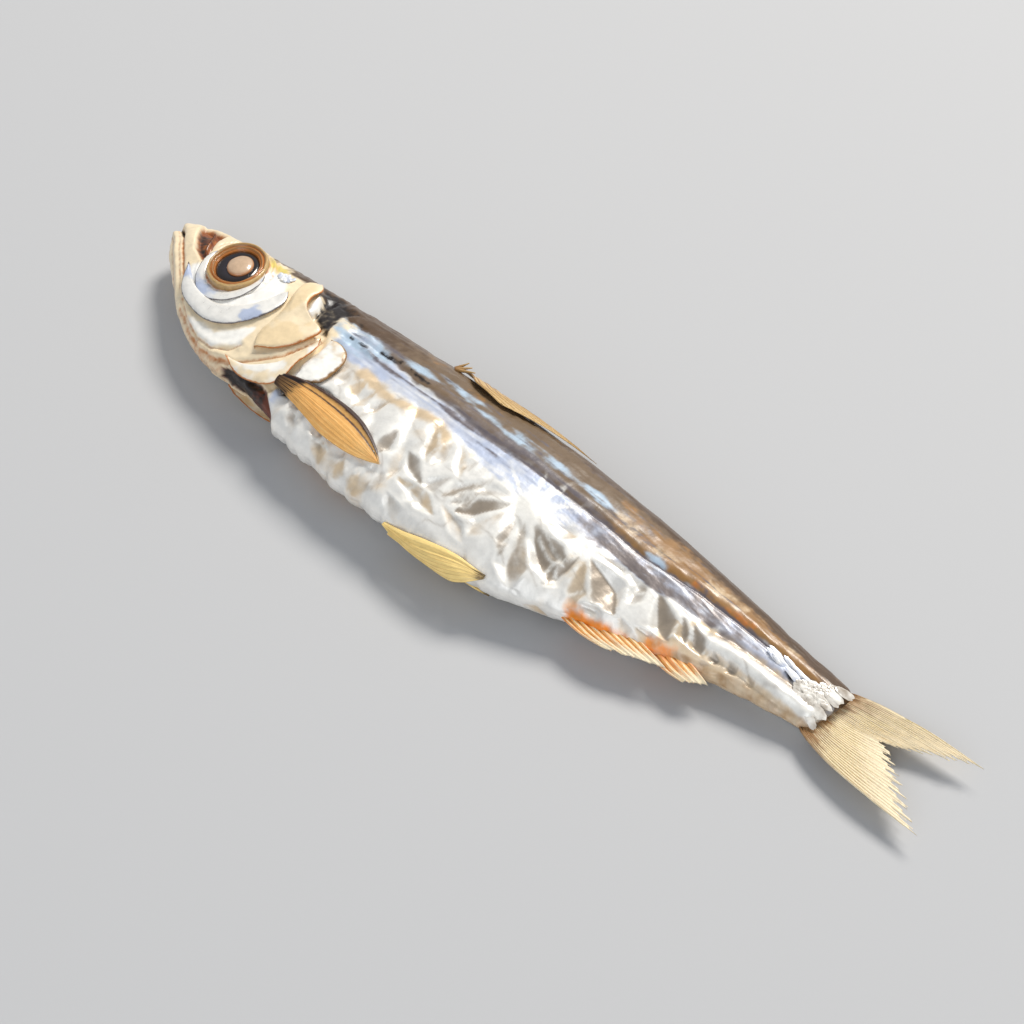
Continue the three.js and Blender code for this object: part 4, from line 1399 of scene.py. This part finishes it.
def build_anal_fin(colours):
    """The anal fin: two bundles of amber rays folded back along the belly's edge."""
    web = fin_material(
        "anal_membrane", colours.fin_amber, colours.fin_orange, colours.fin_pale, colours.amber
    )
    rays = ray_material("anal_rays", colours.fin_amber, colours.fin_pale, 1.3)
    pieces = []
    for label, root, tip, droop, count, thick in ANAL_BUNDLES:

        def place(share, out):
            start = root[0] + (root[1] - root[0]) * share
            end = tip[0] + (tip[1] - tip[0]) * share
            s = start + (end - start) * out
            _, belly, _, middle = section(s)
            fall = (droop[0] + (droop[1] - droop[0]) * share) * out**1.1
            swell = 0.5 * np.sin(math.pi * out) * (1 - share)
            y = belly + 0.55 - fall - swell + 0.5 * share * (1 - out)
            z = middle + 0.55 * share + 0.3 * (1 - share) * out + 0.12 * noise(share * 9, out * 2, 99, 1)
            return np.stack([s, y, z], -1)

        pieces += fan_fin(f"anal_{label}", place, count, (web, rays), 0.14, thick, 2, 0.06, 97)
    return pieces


# Ends of the tail's root and its three outer corners, as (s, y).
TAIL_ROOT = ((101.0, -2.5), (101.0, 4.2))
TAIL_LOWER_TIP, TAIL_NOTCH, TAIL_UPPER_TIP = (119.8, -4.7), (108.9, 2.2), (118.0, 6.5)


def build_tail_fin(colours):
    """The forked tail: many fine rays that end in a serrated, notched hind edge."""
    _, _, _, middle = section(np.array(LENGTH))

    def place(share, out):
        swing = (2 * share - 1)[..., None]
        notch = np.array(TAIL_NOTCH)
        outer = np.where(swing < 0, np.array(TAIL_LOWER_TIP), np.array(TAIL_UPPER_TIP))
        end = notch + (outer - notch) * np.abs(swing) ** 1.05
        start = np.array(TAIL_ROOT[0]) + (np.array(TAIL_ROOT[1]) - np.array(TAIL_ROOT[0])) * share[..., None]
        along = out[..., None]
        flat = start + (end - start) * along
        flat[..., 1] += (
            np.where(share > 0.5, 0.75, 1.0) * (2 * share - 1)
            * np.sin(math.pi * np.clip(out, 0, 1) ** 0.7)
        )
        wave = 0.35 * np.sin(math.pi * out) * np.cos(5 * share) + 0.22 * np.sin(9 * share) * out
        z = float(middle) - 0.1 + wave + 0.1 * noise(share * 17, out * 3, 103, 2)
        return np.concatenate([flat, z[..., None]], -1)

    web = fin_material(
        "tail_membrane", colours.fin_brown, colours.fin_straw, colours.fin_pale, colours.fin_brown
    )
    rays = ray_material("tail_rays", colours.fin_brown, colours.fin_pale, 0.6)
    return fan_fin("tail", place, 43, (web, rays), 0.13, 0.17, 8, 0.17, 101, (330, 30))


# ---- Flakes -----------------------------------------------------------------------------


def flake_tree():
    """Small flattened scales, one on every point, turned to face the point's normal."""
    geometry = {"Geometry": "NodeSocketGeometry"}
    inputs = {
        **geometry, "Size": 0.001, "Flatness": 0.25, "Length": 1.6, "Seed": 1,
        "Material": "NodeSocketMaterial",
    }
    tree, given, result = new_tree("Skin Flakes", "GeometryNodeTree", inputs, geometry)

    def read(name, data_type):
        node = add_node(tree, "GeometryNodeInputNamedAttribute", {"Name": name}, data_type=data_type)
        return node.outputs["Attribute"]

    align = "FunctionNodeAlignRotationToVector"
    upright = add_node(tree, align, {"Vector": read("facing", "FLOAT_VECTOR")}, axis="Z")
    values = {"Rotation": upright.outputs["Rotation"], "Vector": read("heading", "FLOAT_VECTOR")}
    turned = add_node(tree, align, values, axis="X", pivot_axis="Z").outputs["Rotation"]
    vary = add_node(tree, "FunctionNodeRandomValue", {2: 0.7, 3: 1.3, "Seed": given["Seed"]}).outputs[1]
    size = maths(tree, "MULTIPLY", read("flake_size", "FLOAT"), given["Size"])
    width = maths(tree, "MULTIPLY", size, vary)
    length = maths(tree, "MULTIPLY", width, given["Length"])
    height = maths(tree, "MULTIPLY", width, given["Flatness"])
    scale = add_node(tree, "ShaderNodeCombineXYZ", {0: length, 1: width, 2: height}).outputs[0]
    ball = add_node(tree, "GeometryNodeMeshUVSphere", {"Segments": 8, "Rings": 5}).outputs["Mesh"]
    chain(
        tree, given["Geometry"], result,
        ("GeometryNodeInstanceOnPoints", {"Instance": ball, "Rotation": turned, "Scale": scale}),
        ("GeometryNodeRealizeInstances", {}), ("GeometryNodeSetMaterial", {"Material": given["Material"]}),
    )
    return tree


def scatter_flakes(name, tree, spots, lift, material, size, flatness, length, seed):
    """Flakes on the skin at (s, y, side, heading, size) spots."""
    s, y, side, swing, big = np.array(spots).T
    turn = turn_at(s, y, side)
    normal = skin_normal(s, turn)
    ahead = unit(skin_point(np.minimum(s + 0.3, LENGTH), turn) - skin_point(s - 0.3, turn))
    aside = np.cross(normal, ahead)
    heading = ahead * np.cos(swing)[:, None] + aside * np.sin(swing)[:, None]
    values = {"facing": unit(normal + 0.25 * heading), "heading": heading, "flake_size": big}
    piece = add_mesh(name, skin_point(s, turn) + normal * lift, [], None, values)
    inputs = {"Size": size * MM, "Flatness": flatness, "Length": length, "Seed": seed, "Material": material}
    return apply_nodes(piece, tree, inputs)


def flake_material(name, light, shade, metal):
    material, tree, shader = new_material(name)
    speckle = object_noise(tree, 900.0)
    spread = maths(tree, "MULTIPLY_ADD", speckle, 2.2, -0.6, clamp=True)
    fill(tree, shader, {
        "Base Color": mix_colour(tree, shade, light, spread),
        "Metallic": metal,
        "Roughness": 0.35,
        "Coat Weight": 0.3,
        "Normal": bump_normal(tree, speckle, 0.05),
    })
    return material


def build_flakes(colours):
    """Loose scales: a torn fan over the tail's root, and a bright cluster behind the eye."""
    tree = flake_tree()
    random = Random(5)
    white = flake_material("flake_white", colours.crease, colours.grey, 0.0)
    bright = flake_material("flake_bright", colours.crease, colours.band, 0.15)
    tail, blue, head = [], [], []
    for side in (1, -1):
        for _ in range(150):
            share = random.uniform(-1, 1)
            reach = random.random() ** 0.7
            s = 97.6 + 4.2 * reach
            y = 0.3 + share * (0.5 + 2.2 * reach) + 0.3 * reach
            tail.append((s, y, side, 0.45 * share + random.uniform(-0.3, 0.3), 0.55 + 0.55 * reach))
        for _ in range(14):
            reach = random.random()
            blue.append(
                (93.8 + 4.6 * reach, 1.0 + (0.3 + 0.5 * reach) * random.uniform(-1, 1), side,
                random.uniform(-0.1, 0.1), 1.0)
            )
        for _ in range(34):
            angle, out = random.uniform(0, 2 * math.pi), random.random() ** 0.6
            head.append(
                (17.9 + 1.0 * out * math.cos(angle), 0.4 + 0.75 * out * math.sin(angle), side,
                random.uniform(0, 6), 0.8)
            )
    return [
        (scatter_flakes("tail_root_flakes", tree, tail, 0.12, white, 0.36, 0.16, 2.4, 3), "fish_body"),
        (scatter_flakes("tail_blue_scales", tree, blue, 0.08, bright, 0.32, 0.2, 4.2, 4), "fish_body"),
        (scatter_flakes("temple_scales", tree, head, 0.12, bright, 0.3, 0.45, 1.3, 5), "fish_body"),
    ]


# ---- Settings ---------------------------------------------------------------------------


def colour_property(name, description, colour):
    return bpy.props.FloatVectorProperty(
        name=name, description=description, subtype="COLOR", size=3, min=0, max=1, default=screen(*colour)
    )


class FishColours(bpy.types.PropertyGroup):
    """Colours of the dried skin, bones and fins."""

    pearl: colour_property("Pearl", "Bright belly and cheek skin", (0.985, 0.97, 0.94))
    # beige is also laid as warm painted shade in the belly skin's folds
    beige: colour_property("Beige", "Warmer facets of the belly skin", (0.90, 0.80, 0.66))
    # grey is laid as painted shade in the belly skin's folds
    grey: colour_property("Grey", "Dull facets of the belly skin", (0.63, 0.575, 0.51))
    # crease is also laid as painted highlight on the folds' crests, round the star and along the stalk's
    # ridge
    crease: colour_property("Crease", "Raised creases of the belly skin", (1.0, 0.985, 0.95))
    band: colour_property("Band", "Blue-silver band above the belly", (0.76, 0.80, 0.89))
    violet: colour_property("Violet", "Dark line in the side groove", (0.47, 0.43, 0.42))
    sky: colour_property("Sky", "Pale blue sheen behind the gill", (0.72, 0.80, 0.87))
    line: colour_property("Line", "Fine dark lines of the flank", (0.40, 0.37, 0.39))
    yellow: colour_property("Yellow", "Yellowish patch over the eye", (0.90, 0.82, 0.45))
    olive: colour_property("Olive", "Brown skin of the back", (0.46, 0.375, 0.28))
    gold: colour_property("Gold", "Golden-brown tail stalk and keel", (0.60, 0.44, 0.25))
    nape: colour_property("Nape", "Dark skin over the gill cover and along the back", (0.34, 0.25, 0.16))
    bone: colour_property("Bone", "Cream head bones", (0.965, 0.885, 0.745))
    amber: colour_property("Amber", "Seams and thin places of the head", (0.76, 0.45, 0.17))
    # dark is laid in open gaps, pockets and hollows and on a few dark patches
    dark: colour_property("Dark", "Open and dried-out hollows", (0.10, 0.055, 0.035))
    cover: colour_property("Gill cover", "Smooth golden gill cover", (0.95, 0.85, 0.68))
    iris: colour_property("Iris", "Dark ring of the eye", (0.13, 0.10, 0.13))
    lens: colour_property("Lens", "Clouded lens of the eye", (0.80, 0.68, 0.56))
    fin_orange: colour_property("Fin orange", "Pectoral fin membrane", (0.98, 0.74, 0.42))
    fin_tip: colour_property("Fin tip", "Brighter end of the pectoral fin", (0.95, 0.76, 0.48))
    russet: colour_property("Russet", "Deep red-brown inside throat and snout", (0.42, 0.19, 0.08))
    fin_brown: colour_property("Fin brown", "Root of the tail and seams of the back fin", (0.60, 0.43, 0.24))
    fin_edge: colour_property("Fin edge", "Dark upper edge of the pectoral fin", (0.22, 0.11, 0.07))
    fin_gold: colour_property("Fin gold", "Pelvic fin membrane", (1.0, 0.87, 0.56))
    fin_amber: colour_property("Fin amber", "Root of the anal fin", (0.97, 0.57, 0.16))
    fin_pale: colour_property("Fin pale", "Pale ray ends", (0.97, 0.90, 0.76))
    fin_tan: colour_property("Fin tan", "Folded back fin and tail root", (0.82, 0.68, 0.45))
    fin_straw: colour_property("Fin straw", "Tail fin rays", (0.98, 0.91, 0.72))


class FishSettings(bpy.types.PropertyGroup):
    """All settings of the fish."""

    colours: bpy.props.PointerProperty(type=FishColours)
    lens: bpy.props.FloatProperty(
        name="Lens", description="Focal length of the camera", default=172.0, min=20, max=400, unit="CAMERA"
    )
    light: bpy.props.FloatProperty(
        name="Light", description="Strength of the key light", default=7.0, min=0, max=200, unit="POWER"
    )


def settings():
    return bpy.context.scene.dried_fish


# ---- Stage ------------------------------------------------------------------------------


def add_area(name, place, aim, size, power, colour=(1, 1, 1)):
    data = bpy.data.lights.new(name, "AREA")
    data.shape = "DISK"
    data.size = size
    data.energy = power
    data.color = colour
    lamp = bpy.data.objects.new(name, data)
    lamp.location = place
    lamp.rotation_euler = (Vector(aim) - Vector(place)).to_track_quat("-Z", "Y").to_euler()
    bpy.context.scene.collection.objects.link(lamp)
    return lamp


CAMERA_ROLL = -2.5  # degrees


def build_stage(props):
    low, high = CAD_BOX
    centre = (Vector(low) + Vector(high)) / 2
    bpy.ops.mesh.primitive_plane_add(size=6.0, location=(0, 0, 0))
    floor = bpy.context.object
    floor.name = "floor"
    material, _, shader = new_material("pale_floor")
    shader.inputs["Base Color"].default_value = (0.52, 0.52, 0.525, 1)
    shader.inputs["Roughness"].default_value = 0.75
    floor.data.materials.append(material)
    world = bpy.data.worlds.new("studio")
    world.use_nodes = True
    world.node_tree.nodes["Background"].inputs["Color"].default_value = (0.86, 0.92, 1.0, 1)
    world.node_tree.nodes["Background"].inputs["Strength"].default_value = 0.35
    bpy.context.scene.world = world
    add_area("key", (-0.12, 0.55, 0.62), centre, 0.32, props.light, (1.0, 0.965, 0.91))
    add_area("fill", (0.35, -0.65, 0.5), centre, 0.8, props.light * 0.45, (0.93, 0.96, 1.0))
    camera = bpy.data.objects.new("camera", bpy.data.cameras.new("camera"))
    camera.data.lens = props.lens
    camera.location = centre + Vector((0.285, -0.238, 0.346))
    look = (centre - camera.location).to_track_quat("-Z", "Y")
    camera.rotation_euler = (look @ Quaternion((0, 0, 1), math.radians(CAMERA_ROLL))).to_euler()
    bpy.context.scene.collection.objects.link(camera)
    bpy.context.scene.camera = camera
    bpy.context.scene.view_settings.view_transform = "Standard"


# ---- Operators and panel ----------------------------------------------------------------


class FISH_OT_body(bpy.types.Operator):
    """Build the creased, painted skin of head and trunk"""

    bl_idname = "dried_fish.body"
    bl_label = "Body"

    def execute(self, context):
        settle(build_body(settings().colours), "fish_body")
        return {"FINISHED"}


def settle(piece, node):
    """Parents a finished piece to the root body and hides the part it stands in for."""
    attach(piece, "root")
    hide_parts(node)


class FISH_OT_head_plates(bpy.types.Operator):
    """Build the gill covers, cheek and shoulder plates"""

    bl_idname = "dried_fish.head_plates"
    bl_label = "Head plates"

    def execute(self, context):
        for piece in build_head_plates(settings().colours):
            settle(piece, "fish_body")
        return {"FINISHED"}


class FISH_OT_eyes(bpy.types.Operator):
    """Build both eyes: bony rings, dark iris and clouded lens"""

    bl_idname = "dried_fish.eyes"
    bl_label = "Eyes"

    def execute(self, context):
        for piece, node in build_eyes(settings().colours):
            settle(piece, node)
        return {"FINISHED"}


class FISH_OT_paired_fins(bpy.types.Operator):
    """Build the pectoral and pelvic fins of both sides"""

    bl_idname = "dried_fish.paired_fins"
    bl_label = "Paired fins"

    def execute(self, context):
        for piece, node, slot in build_paired_fins(settings().colours):
            settle(piece, node)
        return {"FINISHED"}


class FISH_OT_middle_fins(bpy.types.Operator):
    """Build the folded back fin and the anal fin"""

    bl_idname = "dried_fish.middle_fins"
    bl_label = "Back and anal fins"

    def execute(self, context):
        for piece in build_dorsal_fin(settings().colours):
            settle(piece, "dorsal_fin")
        for piece in build_anal_fin(settings().colours):
            settle(piece, "anal_fin")
        return {"FINISHED"}


class FISH_OT_tail_fin(bpy.types.Operator):
    """Build the forked tail fin"""

    bl_idname = "dried_fish.tail_fin"
    bl_label = "Tail fin"

    def execute(self, context):
        for piece in build_tail_fin(settings().colours):
            settle(piece, "tail_fin")
        return {"FINISHED"}


class FISH_OT_flakes(bpy.types.Operator):
    """Scatter loose scales over the tail's root and behind the eye"""

    bl_idname = "dried_fish.flakes"
    bl_label = "Loose scales"

    def execute(self, context):
        for piece, node in build_flakes(settings().colours):
            settle(piece, node)
        return {"FINISHED"}


class FISH_OT_stage(bpy.types.Operator):
    """Add the floor, lights and camera"""

    bl_idname = "dried_fish.stage"
    bl_label = "Stage"

    def execute(self, context):
        build_stage(settings())
        return {"FINISHED"}


OPERATORS = (
    FISH_OT_body,
    FISH_OT_head_plates,
    FISH_OT_eyes,
    FISH_OT_paired_fins,
    FISH_OT_middle_fins,
    FISH_OT_tail_fin,
    FISH_OT_flakes,
    FISH_OT_stage,
)


class FISH_PT_panel(bpy.types.Panel):
    """Lists the building steps in the sidebar"""

    bl_label = "Dried fish"
    bl_idname = "FISH_PT_panel"
    bl_space_type = "VIEW_3D"
    bl_region_type = "UI"
    bl_category = "Dried fish"

    def draw(self, context):
        for operator in OPERATORS:
            self.layout.operator(operator.bl_idname)


CLASSES = (FishColours, FishSettings, *OPERATORS, FISH_PT_panel)


def register():
    for cls in CLASSES:
        bpy.utils.register_class(cls)
    bpy.types.Scene.dried_fish = bpy.props.PointerProperty(type=FishSettings)


def unregister():
    del bpy.types.Scene.dried_fish
    for cls in reversed(CLASSES):
        bpy.utils.unregister_class(cls)


def main():
    register()
    for operator in OPERATORS:
        group, name = operator.bl_idname.split(".")
        getattr(getattr(bpy.ops, group), name)()


if __name__ == "__main__":
    main()
